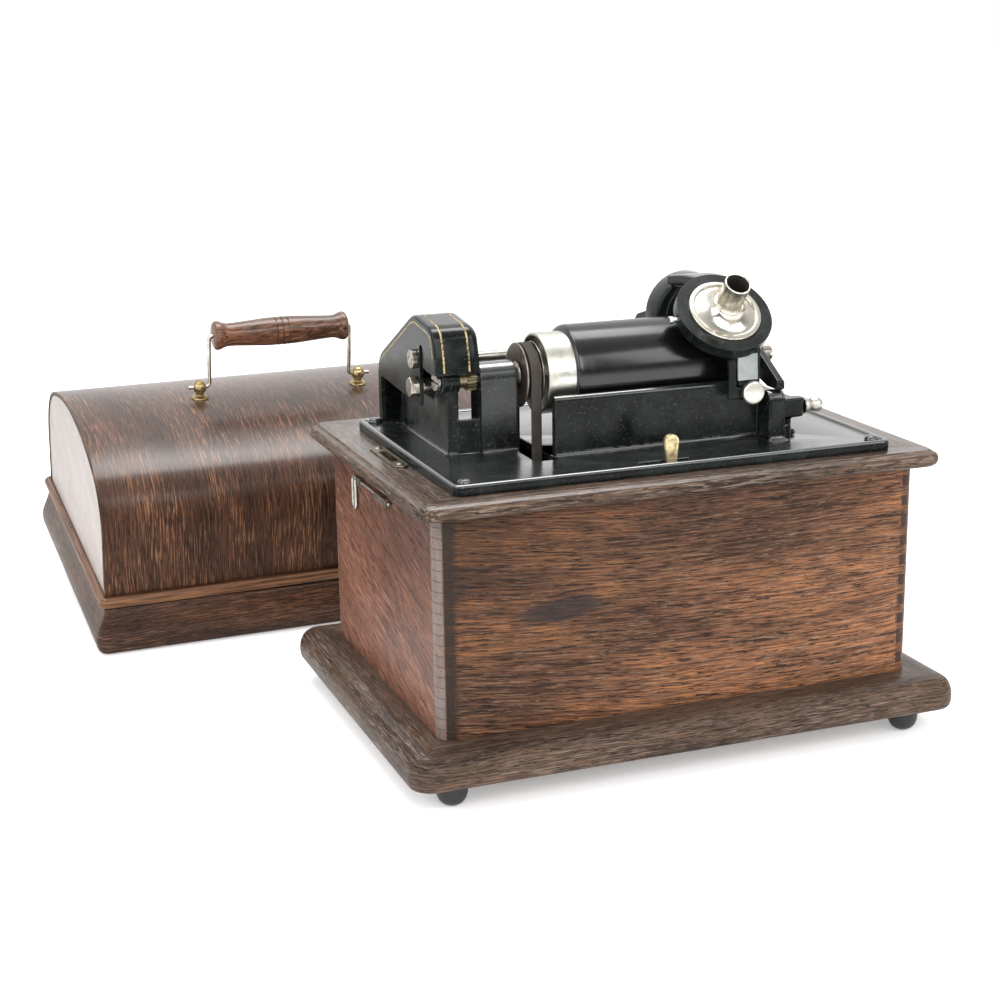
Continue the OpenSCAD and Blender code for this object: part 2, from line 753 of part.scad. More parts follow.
module idler_gear() {
    color(BRASS) machine() difference() {
        gear_x(gear_band[0], gear_band[1], idler_at, feed_m, idler_teeth, idler_phase);
        rod_x(gear_band[0] - 1, gear_band[1] + 1, idler_at, stud_r + run);
        for (k = [0:4]) rod_x(gear_band[0] - 1, gear_band[1] + 1,
            idler_at + 10.5 * [cos(72 * k), sin(72 * k)], 3.6);
    }
}

module feed_gear() {
    color(STEEL) machine() difference() {
        gear_x(gear_band[0], gear_band[1], feed_at, feed_m, feed_teeth, feed_phase);
        rod_x(gear_band[0] - 1, gear_band[1] + 1, feed_at, feed_r - 0.5);
    }
}

// The feed screw's thread is too fine to draw, so it is a plain rod with journals
module feed_screw() {
    journal = feed_r - 0.5;
    x0 = gear_band[1] + 1;
    x1 = end_post_x[0] - 2;
    color(STEEL) machine() {
        rod_x(web_x[0] + 0.5, x0, feed_at, journal);
        rod_x(x0, x1, feed_at, feed_r);
        rod_x(x1, end_post_x[1], feed_at, journal);
    }
}

module back_rod() {
    color(STEEL) machine() rod_x(rod_post_x[0], end_post_x[1], back_rod_at, back_rod_r);
}

// The belt runs from the mandrel pulley down through the bed to the motor's pulley
module belt_loop(r) {
    translate(axis) circle(r);
    translate(third_at) circle(r);
    translate([axis_y - r, third_at[1]]) square([2 * r, axis_z - third_at[1]]);
}

module drive_belt() {
    color(LEATHER) machine() slab_x(belt_x - belt_w / 2, belt_x + belt_w / 2) difference() {
        belt_loop(pulley_r + clear + belt_t);
        belt_loop(pulley_r + clear);
    }
}

// Carriage: a sleeve on the back rod, with the arm that carries the reproducer

sleeve_r = 7;
arch_x = carriage_x + 10;
sleeve_x = [-29, 29];
leg_x = [19.5, 25.5];
arch_r = 25.5;
arch_at = [arch_x, above(66)];
arch_y = [8, 26];
tongue_x = [2, 16];
tongue_y = [-68, -64];
tongue_z = above(35);
knob_at = [carriage_x + 11, above(30.5)];
record_gap = 0.3;
ring_low = record_r + 9;

// Frame of the reproducer: z runs out from the mandrel axis through the stylus
module rep_frame() {
    translate([carriage_x, axis_y, axis_z]) rotate([rep_lean, 0, 0]) children();
}

module carriage_sleeve() {
    color(STEEL) machine() translate([arch_x, 0, 0]) turned_x(back_rod_at) polygon([
        [back_rod_r + run, sleeve_x[0]], [sleeve_r + 2, sleeve_x[0]], [sleeve_r + 2, sleeve_x[0] + 2.6],
        [sleeve_r, sleeve_x[0] + 2.6], [sleeve_r, sleeve_x[1] - 2.6], [sleeve_r + 2, sleeve_x[1] - 2.6],
        [sleeve_r + 2, sleeve_x[1]], [back_rod_r + run, sleeve_x[1]]]);
}

module arm_legs() {
    for (s = [-1, 1]) {
        x0 = arch_x + (s < 0 ? -leg_x[1] : leg_x[0]);
        slab_x(x0, x0 + leg_x[1] - leg_x[0]) polygon([[arch_y[0], arch_at[1]],
            [arch_y[1], arch_at[1] + 2],
            [40, above(64)], [58, above(46)], [back_rod_at[0] + 9, back_rod_at[1]],
                [back_rod_at[0], back_rod_at[1] - 10],
            [back_rod_at[0] - 9, back_rod_at[1]], [46, above(44)], [32, above(57)], [18, above(60)]]);
        rod_x(x0, x0 + leg_x[1] - leg_x[0], back_rod_at, sleeve_r + 3.5);
    }
}

module speaker_arm() {
    color(JAPAN) machine() difference() {
        union() {
            slab_y(arch_y[0], arch_y[1]) intersection() {
                translate(arch_at) difference() {
                    circle(arch_r);
                    circle(arch_r - 6);
                }
                translate(arch_at + [-arch_r, 0]) square([2 * arch_r, arch_r]);
            }
            arm_legs();
            slab_x(carriage_x - 6, carriage_x + 14) polygon([[-29, above(89)], [-30.5, above(94)],
                [10, above(91)], [10, above(85)]]);
            rep_frame() translate([0, 0, ring_low]) cylinder(h = ring_t, r = ring_r);
            block([carriage_x + tongue_x[0], tongue_y[0], tongue_z],
                  [carriage_x + tongue_x[1], tongue_y[1], above(58)]);
            block([carriage_x + tongue_x[0] + 4, tongue_y[1], tongue_z - 10],
                  [carriage_x + tongue_x[1], tongue_y[1] + 2.6, tongue_z + 6]);
            block([carriage_x + tongue_x[0] + 4, tongue_y[0] + 1, tongue_z],
                  [carriage_x + tongue_x[1], tongue_y[1] + 2.6, tongue_z + 6]);
        }
        rep_frame() translate([0, 0, ring_low - 4]) cylinder(h = ring_t + 30, r = ring_seat_r);
        rep_frame() rod_x(-ring_r - 1, -ring_seat_r + 1, [0, ring_low + ring_t / 2], 1.4);
        rod_x(carriage_x - 40, carriage_x + 40, back_rod_at, sleeve_r + run);
        rod_y(tongue_y[1] - 1, tongue_y[1] + 4, knob_at, 2);
    }
}

module clamp_pin() {
    color(NICKEL) machine() rep_frame() {
        rod_x(-ring_r - 6, -ring_seat_r, [0, ring_low + ring_t / 2], 1.4);
        rod_x(-ring_r - 6, -ring_r - 3.5, [0, ring_low + ring_t / 2], 2.2);
    }
}

// The half nut leans on the back of the feed screw from the inside of the arm
module half_nut() {
    color(BRASS) machine() difference() {
        slab_x(arch_x - leg_x[0], arch_x + leg_x[0]) polygon([
            [feed_at[0] + 1, feed_at[1] + 9], [feed_at[0] + 6, feed_at[1] + 13], [46, above(58)],
            [47, above(55)], [feed_at[0] + 8, feed_at[1] + 6], [feed_at[0] + 5, feed_at[1] + 1]]);
        rod_x(carriage_x - 40, carriage_x + 40, feed_at, feed_r + clear);
    }
}

// Reproducer: pan, capsule, diaphragm and gaskets in the ring, weight and stylus below

pan_z = [ring_low + 1.5, ring_low + ring_t];
pan_t = 1.2;
diaphragm_r = 19.5;

module reproducer_pan() {
    color(JAPAN) machine() rep_frame() rotate_extrude() polygon([
        [6, pan_z[0]], [ring_seat_r, pan_z[0]], [ring_seat_r, pan_z[1]], [diaphragm_r + 1.5, pan_z[1]],
        [diaphragm_r + 1.5, pan_z[1] - 4], [diaphragm_r - 3, pan_z[1] - 4],
            [diaphragm_r - 3, pan_z[0] + pan_t],
        [6, pan_z[0] + pan_t]]);
    color(JAPAN) machine() rep_frame() for (s = [-1, 1]) difference() {
        block([s * hinge_lug_x - 1, weight_hinge_y - 2.4, weight_hinge_z - 2.2],
              [s * hinge_lug_x + 1, weight_hinge_y + 2.4, pan_z[0] + 0.2]);
        rod_x(-20, 20, [weight_hinge_y, weight_hinge_z], hinge_r + run);
    }
}

cap_flange_r = 22.6;

module reproducer_cap() {
    z0 = pan_z[1];
    color(NICKEL) machine() rep_frame() rotate_extrude() polygon(concat(
        [[neck_bore_r, z0 + 2], [17, z0 - 1], [diaphragm_r, z0 - 1], [diaphragm_r, z0],
            [cap_flange_r, z0]],
        [[cap_flange_r, z0 + 1.2], [cap_flange_r - 1, z0 + 1.8], [19, z0 + 2.2]],
        arc([19, z0 + 7.2], 5, -100, -120, 2), [[12, z0 + 4.6], [neck_r + 1.6, z0 + 6.4],
            [neck_r + 1.6, z0 + 7.6],
        [neck_r, z0 + 8.2], [neck_r, z0 + neck_l], [neck_bore_r, z0 + neck_l]]));
}

module diaphragm() {
    color("#c9b27c") machine() rep_frame() translate([0, 0, pan_z[1] - 2.7]) cylinder(h = 0.5,
        r = diaphragm_r);
}

module gaskets() {
    color(RUBBER) machine() rep_frame() for (z = [pan_z[1] - 4, pan_z[1] - 2.2])
        translate([0, 0, z]) rotate_extrude() translate([diaphragm_r - 2.5, 0]) square([2.5,
            z < pan_z[1] - 3 ? 1.3 : 1.2]);
}

// The weight turns on a pin between two lugs under the pan
weight_z = [record_r + 1.6, ring_low + 0.3];
weight_w = 20;
weight_hinge_y = 12;
weight_hinge_z = (weight_z[0] + weight_z[1]) / 2;
hinge_r = 1.2;
hinge_lug_x = weight_w / 2 + 1 + clear;

module floating_weight() {
    color(STEEL) machine() rep_frame() difference() {
        translate([0, 0, weight_z[0]]) intersection() {
            cylinder(h = weight_z[1] - weight_z[0], r = 17);
            translate([-weight_w / 2, -18, -1]) cube([weight_w, 36, 10]);
        }
        translate([0, -4, weight_z[0] - 1]) cylinder(h = 10, r = 3);
    }
    color(STEEL) machine() rep_frame()
        rod_x(-hinge_lug_x - 1, hinge_lug_x + 1, [weight_hinge_y, weight_hinge_z], hinge_r);
}

module stylus() {
    color(NICKEL) machine() rep_frame() {
        block([-1.2, -3, weight_z[0] - 0.8], [1.2, 6, weight_z[0]]);
        translate([0, 0, record_r + record_gap]) cylinder(h = weight_z[0] - record_gap - record_r,
            r1 = 0.4, r2 = 0.8);
    }
}

// Lift lever on the front of the arm, turned by its round nickel head

lever_y = [tongue_y[0], tongue_y[1] - clear];

module lift_lever() {
    color(JAPAN) machine() difference() {
        union() {
            rod_y(lever_y[0], lever_y[1], knob_at, 4);
            block([carriage_x - 4.5, lever_y[0], knob_at[1] - 4],
                [knob_at[0], lever_y[1], knob_at[1] + 3.6]);
            block([carriage_x - 4.5, lever_y[0], knob_at[1] - 4],
                  [carriage_x + tongue_x[0] - 0.8, lever_y[1], above(50.5)]);
        }
        rod_y(lever_y[0] - 1, lever_y[1] + 1, knob_at, 2);
    }
}

module lift_knob() {
    color(NICKEL) machine() {
        rod_y(lever_y[0] - 4.6, lever_y[0], knob_at, 6.7);
        rod_y(lever_y[0], tongue_y[1] + 2, knob_at, 2 - run);
    }
}

// End gate that steadies the free end of the mandrel, with its latch

centre_x = span(shaft_end, -3.6, 26);
centre_r = 2.3;

module end_gate() {
    color(JAPAN) machine() difference() {
        union() {
            slab_x(gate_x[0], gate_x[1]) polygon([[36, above(16)], [36, above(34)], [8, above(46)],
                [axis_y + 8, axis_z + 12], [axis_y - 10, axis_z + 11], [-48, above(50)], [-73, above(36)],
                [-73, above(gate_post_h + clear)], [-60, above(gate_post_h + clear)], [-40, above(37)],
                [axis_y, axis_z - 11], [0, above(28)], [20, above(16)]]);
            rod_x(gate_x[0] - 1.5, gate_x[1] + 8, axis, 9);
            rod_z(above(13), above(35), gate_pin_at, 6.5);
        }
        rod_x(gate_x[0] - 3, gate_x[1] + 9, axis, 4);
        rod_z(above(12), above(38), gate_pin_at, gate_pin_r + run);
    }
}

module centre_screw() {
    color(NICKEL) machine() {
        translate([centre_x[0], axis[0], axis[1]]) rotate([0, 90, 0]) cylinder(h = 3.4, r1 = 0.2,
            r2 = centre_r);
        rod_x(centre_x[0] + 3.4, gate_x[0], axis, centre_r);
        rod_x(gate_x[0], gate_x[1] + 10, axis, 4);
        difference() {
            rod_x(gate_x[1] + 10, centre_x[1], axis, 4.6);
            block([centre_x[1] - 1.6, axis_y - 6, axis_z - 0.7],
                [centre_x[1] + 1, axis_y + 6, axis_z + 0.7]);
        }
    }
}

latch_at = [shaft_end + 18, -60];
latch_h = [11, 23];
latch_pin_r = 3;

module latch_cut() {
    rod_z(z_deck - 1, z_bed + 1, latch_at, latch_pin_r + run);
}

module gate_latch() {
    color(JAPAN) machine() {
        rod_z(z_deck, above(latch_h[0] + 0.01), latch_at, latch_pin_r);
        rod_z(above(clear), above(3), latch_at, 6);
        block([latch_at[0] - 6, latch_at[1] - 5, above(latch_h[0])],
            [latch_at[0] + 6.5, latch_at[1] + 5, above(latch_h[1])]);
        rod_z(above(latch_h[0]), above(latch_h[1]), latch_at + [6.5, 0], 5);
    }
}

module latch_knob() {
    z = above((latch_h[0] + latch_h[1]) / 2);
    x0 = latch_at[0] + 11.5;
    color(NICKEL) machine() {
        rod_x(x0, x0 + 3, [latch_at[1], z], 5);
        rod_x(x0 + 3, x0 + 6, [latch_at[1], z], 3.4);
        translate([x0 + 8.4, latch_at[1], z]) sphere(4.4);
    }
}

// Start and stop lever, with its brake pad by the governor

start_x = disc_x[0] - 11;
start_slot_x = span(start_x, -19.8, 12.5);
start_t = 3.2;

module start_lever() {
    color(BRASS) machine() {
        slab_y(start_slot_y - start_t / 2, start_slot_y + start_t / 2) {
            translate([start_x, above(11)]) circle(4.4);
            polygon([[start_x - 4.2, above(10)], [start_x + 4.2, above(10)], [start_x + 2.6, z_deck - 1],
                [start_x - 2.6, z_deck - 1]]);
        }
        block([start_x - 10, start_slot_y - 3.2, z_deck - 3.4],
            [start_x + 10, start_slot_y + 6, z_deck - clear]);
        rod_z(governor_at[1] - 2, z_deck - 3, [start_x, start_slot_y + 3], 2);
        block([start_x - 2, start_slot_y + 2, governor_at[1] - 4],
              [start_x + 2, governor_at[0] - 17.5, governor_at[1] + 4]);
    }
}

// Spring motor hung under the bed plate

plate_th = 4;
barrel_at = winding_at;
barrel_a = 200;
second_at = barrel_at + motor_m * (barrel_teeth + second_pinion_teeth) / 2 * [cos(barrel_a),
    sin(barrel_a)];
third_d = motor_m * (wheel_teeth + small_pinion_teeth) / 2;
third_at = [axis_y, second_at[1] + sqrt(third_d * third_d - pow(axis_y - second_at[0], 2))];
third_a = atan2(third_at[1] - second_at[1], third_at[0] - second_at[0]);
governor_a = 170;
governor_at = third_at + third_d * [cos(governor_a), sin(governor_a)];
barrel_band = span(plate_x[0], 8, 14);
second_band = span(plate_x[0], 70, 75);
third_band = span(plate_x[0], 80, 85);
arbor_r = 3;
drum_r = motor_m * barrel_teeth / 2 - 4;
drum_wall = 2.5;
drum_x = span(plate_x[0], 15, 52);
collar_x = span(plate_x[0], 10, 16);
bridge_y = [span(start_slot_y, 13.4, 27.4), [52, 66]];
bridge_z = [z_deck - 36, z_deck - 30];
hanger_x = [plate_x[0] + 14, plate_x[1] - 12];

module motor_frame() {
    color(JAPAN) machine() difference() {
        union() {
            for (x = plate_x) slab_x(x, x + plate_th) polygon([[bridge_y[0][0], governor_at[1] - 12],
                [bridge_y[0][0], bridge_z[1]], [bridge_y[0][1] + 4, bridge_z[1]],
                    [-44, third_at[1] + 20], [0, third_at[1] + 22], [52, bridge_z[1]],
                [66, bridge_z[1]], [66, barrel_at[1] - 20], [40, barrel_at[1] - 38],
                    [-14, second_at[1] - 16],
                [-36, second_at[1] - 8]]);
            for (y = bridge_y) block([plate_x[0], y[0], bridge_z[0]],
                [plate_x[1] + plate_th, y[1], bridge_z[1]]);
        }
        for (at = [second_at, third_at, governor_at])
            rod_x(plate_x[0] - 1, plate_x[1] + plate_th + 1, at, arbor_r + run);
        rod_x(plate_x[0] - 1, plate_x[1] + plate_th + 1, barrel_at, winding_r + run);
        for (x = hanger_x, y = bridge_y)
            rod_z(bridge_z[0] - 1, bridge_z[1] + 1, [x, (y[0] + y[1]) / 2], 3.2);
    }
}

module suspension_bolts() {
    color(STEEL) machine() for (x = hanger_x, y = bridge_y) {
        at = [x, (y[0] + y[1]) / 2];
        rod_z(bridge_z[0] - 8, z_deck, at, 3);
        rod_z(bridge_z[1], bridge_z[1] + 3, at, 5.5);
        rod_z(bridge_z[0] - 3, bridge_z[0], at, 5.5);
    }
}

module winding_shaft() {
    color(STEEL) machine() {
        rod_x(plate_x[0], case_w / 2, winding_at, winding_r);
        rod_x(case_w / 2, case_w / 2 + winding_out, winding_at, winding_end_r);
        rod_x(plate_x[1] - 3, plate_x[1] - clear, winding_at, winding_r + 3);
        rod_x(plate_x[1] + plate_th + clear, plate_x[1] + plate_th + 6, winding_at, winding_r + 3);
    }
}

module spring_barrel() {
    color(STEEL) machine() difference() {
        union() {
            gear_x(barrel_band[0], barrel_band[1], barrel_at, motor_m, barrel_teeth, barrel_a);
            rod_x(barrel_band[1] - 0.5, drum_x[1], barrel_at, drum_r);
            rod_x(plate_x[0] + plate_th + clear, barrel_band[0], barrel_at, winding_r + 4);
        }
        rod_x(plate_x[0], drum_x[1] + 1, barrel_at, winding_r + run);
        rod_x(drum_x[0], drum_x[1] - 3, barrel_at, drum_r - drum_wall);
    }
}

// The mainspring is a flat ribbon wound in a spiral inside the barrel
spring_turns = 7;
ribbon_t = 0.8;

module mainspring() {
    steps = spring_turns * 20;
    r0 = winding_r + 3;
    r1 = drum_r - drum_wall - ribbon_t;
    function spiral(k, t) =
        (r0 + (r1 - r0) * k / steps + t) * [cos(18 * k), sin(18 * k)];
    color(STEEL) machine() slab_x(drum_x[0] + 2, drum_x[1] - 6) translate(barrel_at) polygon(concat(
        [for (k = [0:steps]) spiral(k, 0)], [for (k = [steps:-1:0]) spiral(k, ribbon_t)]));
}

module arbor(at, x0) {
    rod_x(x0, plate_x[1] + plate_th, at, arbor_r);
    rod_x(plate_x[0] + plate_th + clear, plate_x[0] + plate_th + 2, at, arbor_r + 2);
    rod_x(plate_x[1] - 2, plate_x[1] - clear, at, arbor_r + 2);
}

module second_arbor() {
    color(BRASS) machine() {
        arbor(second_at, plate_x[0]);
        gear_x(barrel_band[0], barrel_band[1], second_at, motor_m, second_pinion_teeth,
            mesh_phase(barrel_a, barrel_a, barrel_teeth, second_pinion_teeth));
        gear_x(second_band[0], second_band[1], second_at, motor_m, wheel_teeth, third_a);
    }
}

module third_arbor() {
    color(BRASS) machine() {
        arbor(third_at, belt_x - belt_room / 2 - flange_t - 4);
        gear_x(second_band[0], second_band[1], third_at, motor_m, small_pinion_teeth,
            mesh_phase(third_a, third_a, wheel_teeth, small_pinion_teeth));
        gear_x(third_band[0], third_band[1], third_at, motor_m, wheel_teeth, governor_a);
    }
}

module drive_pulley() {
    color(STEEL) machine() difference() {
        pulley(third_at);
        rod_x(belt_x - 20, belt_x + 20, third_at, shaft_r + 0.01);
    }
    color(STEEL) machine() difference() {
        rod_x(belt_x - belt_room / 2, belt_x + belt_room / 2, third_at, shaft_r + 0.01);
        rod_x(belt_x - 20, belt_x + 20, third_at, arbor_r);
    }
}

// Governor: three weights on leaf springs between a fixed collar and the brake disc
weight_r = 5;
weight_out = 11;

module governor() {
    color(BRASS) machine() {
        arbor(governor_at, plate_x[0]);
        gear_x(third_band[0], third_band[1], governor_at, motor_m, small_pinion_teeth,
            mesh_phase(governor_a, governor_a, wheel_teeth, small_pinion_teeth));
        rod_x(collar_x[0], collar_x[1], governor_at, 7);
        rod_x(disc_x[0], disc_x[1], governor_at, 20);
        rod_x(disc_x[0] - 6, disc_x[0], governor_at, 7);
        for (k = [0:2]) translate([0, governor_at[0], governor_at[1]]) rotate([120 * k, 0, 0]) {
            middle = (collar_x[1] + disc_x[0] - 6) / 2;
            rod_x(middle - weight_r, middle + weight_r, [0, weight_out], weight_r);
            slab_y(-2.5, 2.5) polygon([[collar_x[1] - 4, 6.5], [middle, weight_out - 0.5],
                [disc_x[0] - 2, 6.5],
                [disc_x[0] - 2, 7.2], [middle, weight_out + 0.3], [collar_x[1] - 4, 7.2]]);
        }
    }
}

// Lid: bent board and end boards on a moulding, hooks below and a carrying handle above

bead_r = 4;
shell_inset = 10.2;
shell_w = lid_w - 2 * shell_inset;
shell_d = lid_d - 2 * shell_inset;
shell_half = shell_d / 2;
shoulder_a = 68;
crown_half = shell_half - lid_shoulder_r * (1 - cos(shoulder_a));
crown_r = crown_half / sin(90 - shoulder_a);
shoulder_z = lid_skirt_h + lid_side_h;
crown_z = shoulder_z + lid_shoulder_r * sin(shoulder_a) - crown_r * sin(shoulder_a);
lid_top = crown_z + crown_r;
lid_hole = [shell_w - 2 * lid_t - 6, shell_d - 2 * lid_t - 6];

module lid_profile() {
    r = lid_corner_r;
    foot = r - lid_bulge;
    bead_z = lid_skirt_h - bead_r;
    polygon(concat([[0, 0], [foot, 0]], arc([r - 6, lid_bulge_z], 6, -45, 30, 6),
        [[r - 3, lid_bulge_z + 9], [r - 5.2, bead_z - bead_r - 3], [r - 5.2, bead_z - bead_r]],
        arc([r - 5.6, bead_z], bead_r, -80, 90, 8), [[0, lid_skirt_h]]));
}

module lid_moulding() {
    color(LID_WOOD) lid_place() {
        moulded_ring(lid_w, lid_d, lid_corner_r) lid_profile();
        inner_frame(lid_w - 2 * lid_corner_r, lid_d - 2 * lid_corner_r, lid_skirt_h, lid_hole, [0, 0]);
    }
}

// Section of the bent lid, drawn as arcs, with its face moved in by t
module lid_section(t) {
    r = lid_shoulder_r - t;
    right = arc([shell_half - lid_shoulder_r, shoulder_z], r, 0, shoulder_a, 8);
    crown = arc([0, crown_z], crown_r - t, shoulder_a, 180 - shoulder_a, 10);
    left = arc([lid_shoulder_r - shell_half, shoulder_z], r, 180 - shoulder_a, 180, 8);
    polygon(concat([[shell_half - t, lid_skirt_h]], right, crown, left, [[t - shell_half, lid_skirt_h]]));
}

module lid_shell() {
    color(LID_WOOD) lid_place() difference() {
        slab_x(-shell_w / 2, shell_w / 2) lid_section(0);
        slab_x(-shell_w / 2 - 1, shell_w / 2 + 1) lid_section(lid_t);
        block([-shell_w, -shell_half + lid_t, lid_skirt_h - 1],
            [shell_w, shell_half - lid_t, lid_skirt_h + 1]);
    }
}

module lid_ends() {
    color(LID_WOOD) lid_place() for (s = [-1, 1])
        slab_x(s * shell_w / 2 - (s > 0 ? lid_end_t : 0),
            s * shell_w / 2 + (s > 0 ? 0 : lid_end_t)) lid_section(lid_t);
}

hook_t = 2.2;

module lid_hooks() {
    color(STEEL) lid_place() for (s = [-1, 1])
        slab_x(s * lid_hole[0] / 2 - (s > 0 ? hook_t : 0),
            s * lid_hole[0] / 2 + (s > 0 ? 0 : hook_t)) difference() {
            union() {
                translate([-hook_tip_r, -hook_stem]) square([2 * hook_tip_r, hook_stem + 28]);
                translate([0, -hook_stem]) circle(hook_tip_r);
            }
            translate([0, 2 - hook_stem]) circle(3);
        }
}

post_z = lid_top + 8.6;
ball_r = 5.2;
bail_r = 1.6;
stub = [8.5, 7.4];

module handle_posts() {
    color(BRASS) lid_place() for (s = [-1, 1]) translate([s * post_gap / 2, 0, 0]) difference() {
        union() {
            rod_z(lid_top - 1, lid_top + 1.4, [0, 0], 6.6);
            rod_z(lid_top, post_z - 3, [0, 0], 3);
            translate([0, 0, post_z]) sphere(ball_r);
        }
        rod_x(-10, 10, [0, post_z], bail_r + run);
        lid_crown_cut();
    }
}

// The lid's crown, which the post flanges are cut to
module lid_crown_cut() {
    translate([-20, 0, crown_z]) rotate([0, 90, 0]) cylinder(h = 40, r = crown_r, $fn = 256);
}

module handle_bail() {
    rise = post_z + grip_h;
    x_in = post_gap / 2 - stub[1];
    color(STEEL) lid_place() {
        for (s = [-1, 1]) {
            rod_x(s > 0 ? x_in : -post_gap / 2 - stub[0], s > 0 ? post_gap / 2 + stub[0] : -x_in,
                [0, post_z], bail_r);
            translate([s * x_in, 0, post_z]) sphere(bail_r);
            rod_z(post_z, rise, [s * x_in, 0], bail_r);
            translate([s * x_in, 0, rise]) sphere(bail_r);
        }
        rod_x(-x_in, x_in, [0, rise], bail_r);
    }
}

module handle_grip() {
    half = post_gap / 2 - stub[1] - bail_r - 1;
    slim = grip_r - 1.8;
    color("#6b3422") lid_place() turned_x([0, post_z + grip_h]) polygon(concat(
        [[bail_r, -half]], [for (s = [-1, 1]) for (p = s < 0
            ? [[grip_r - 2, 0], [grip_r, 2], [grip_r, 5], [slim, 12], [slim + 0.6, half - 6],
                [slim - 0.4, half - 5],
               [slim + 0.6, half - 4], [slim + 0.6, half - 2]]
            : [[slim + 0.6, half - 2], [slim + 0.6, half - 4], [slim - 0.4, half - 5],
                [slim + 0.6, half - 6],
               [slim, 12], [grip_r, 5], [grip_r, 2], [grip_r - 2, 0]])
            [p[0], s * (half - p[1])]], [[bail_r, half]]));
}

case_front();
case_back();
case_left();
case_right();
base_moulding();
floor_panel();
feet();
top_moulding();
slot_plate();
lid_latch();
latch_staples();
bed_casting();
bed_screws();
gear_cover();
cover_bolt();
idler_stud();
mandrel_shaft();
mandrel();
record();
mandrel_pulley();
mandrel_gear();
idler_gear();
feed_gear();
feed_screw();
back_rod();
drive_belt();
carriage_sleeve();
speaker_arm();
clamp_pin();
half_nut();
reproducer_pan();
reproducer_cap();
diaphragm();
gaskets();
floating_weight();
stylus();
lift_lever();
lift_knob();
end_gate();
centre_screw();
gate_latch();
latch_knob();
start_lever();
motor_frame();
suspension_bolts();
winding_shaft();
spring_barrel();
mainspring();
second_arbor();
third_arbor();
drive_pulley();
governor();
lid_moulding();
lid_shell();
lid_ends();
lid_hooks();
handle_posts();
handle_bail();
handle_grip();
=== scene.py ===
"""Looks of the cylinder phonograph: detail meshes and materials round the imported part."""

import json
import math

import bmesh
import bpy
import numpy as np
from mathutils import Matrix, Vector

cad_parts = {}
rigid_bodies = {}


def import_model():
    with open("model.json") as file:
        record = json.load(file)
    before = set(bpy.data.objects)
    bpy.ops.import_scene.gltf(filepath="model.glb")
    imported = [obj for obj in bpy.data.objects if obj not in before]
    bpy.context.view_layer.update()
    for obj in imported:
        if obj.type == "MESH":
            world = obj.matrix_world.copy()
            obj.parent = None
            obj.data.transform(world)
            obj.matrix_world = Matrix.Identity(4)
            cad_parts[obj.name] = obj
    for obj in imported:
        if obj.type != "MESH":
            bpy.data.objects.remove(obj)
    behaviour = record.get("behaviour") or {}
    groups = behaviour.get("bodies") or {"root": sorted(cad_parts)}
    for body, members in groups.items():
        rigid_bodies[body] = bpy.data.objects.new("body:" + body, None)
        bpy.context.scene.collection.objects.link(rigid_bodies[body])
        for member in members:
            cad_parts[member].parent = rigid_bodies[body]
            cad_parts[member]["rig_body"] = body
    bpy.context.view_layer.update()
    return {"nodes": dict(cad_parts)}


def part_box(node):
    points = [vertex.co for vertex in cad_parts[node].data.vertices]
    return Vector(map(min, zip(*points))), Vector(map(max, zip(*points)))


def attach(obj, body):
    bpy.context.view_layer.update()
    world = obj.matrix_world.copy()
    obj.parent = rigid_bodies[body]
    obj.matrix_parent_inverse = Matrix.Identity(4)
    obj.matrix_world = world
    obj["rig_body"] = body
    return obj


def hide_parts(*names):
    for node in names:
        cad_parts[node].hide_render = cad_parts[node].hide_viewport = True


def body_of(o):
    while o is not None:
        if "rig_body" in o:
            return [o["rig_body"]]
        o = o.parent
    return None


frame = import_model()

NODES = frame["nodes"]
scene = bpy.context.scene


def mid(node):
    """Centre of a CAD node's box, in millimetres of the row frame."""
    low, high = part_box(node)
    return (np.array(low) + np.array(high)) * 500.0


# Pieces are drawn in millimetres of the machine: x right, y back, z up from the floor.
MACHINE = mid("base_moulding") * (1.0, 1.0, 0.0)
Z_BASE, Z_CASE, Z_TOP, Z_DECK, Z_BED = 16.0, 37.0, 169.0, 179.0, 183.8
AXIS = (-23.0, 227.8)
SCREW_X, SCREW_Y = (-132.0, 128.6), (-95.9, 76.7)
START_X, START_Y = -3.0, -91.4

# The lid stands on its front lower edge and on its hooks, a little turned.
LID_FRONT = np.array([-132.2, 231.6, 0.0])
LID_HALF, HOOK_STEM, HOOK_TIP = 113.0, 13.0, 7.0
LID_YAW = math.radians(1.8)
LID_TILT = math.atan2(HOOK_STEM, LID_HALF) + math.asin(HOOK_TIP / math.hypot(LID_HALF, HOOK_STEM))

# The reproducer leans forward over the record.
ARM = np.array([51.0, AXIS[0], AXIS[1]])
ARM_LEAN = math.radians(41.0)

# Where the bead lies along the profile of the lid's frame, as its UV counts it
BEAD = (105.2, 119.0)

# Marks the points of a moulding's profile that follow the hole inside it
HOLE = -999.0


def in_machine(points):
    """Machine millimetres to row metres."""
    return (np.asarray(points, float) + MACHINE) / 1000.0


def tipped(points, angle):
    """Points turned about X: y' = y cos a - z sin a, z' = y sin a + z cos a."""
    p = np.asarray(points, float)
    c, s = math.cos(angle), math.sin(angle)
    return np.stack([p[..., 0], p[..., 1] * c - p[..., 2] * s, p[..., 1] * s + p[..., 2] * c], -1)


def in_lid(points):
    """Lid millimetres (origin in the middle of its lower face) to row metres: tipped, turned and moved."""
    p = tipped(np.asarray(points, float) + (0.0, LID_HALF, 0.0), LID_TILT)
    c, s = math.cos(LID_YAW), math.sin(LID_YAW)
    q = np.stack([p[..., 0] * c - p[..., 1] * s, p[..., 0] * s + p[..., 1] * c, p[..., 2]], -1)
    return in_machine(q + LID_FRONT)


def in_arm(points):
    """Reproducer millimetres (z out through the neck) to row metres."""
    return in_machine(tipped(points, ARM_LEAN) + ARM)


# Mesh builders


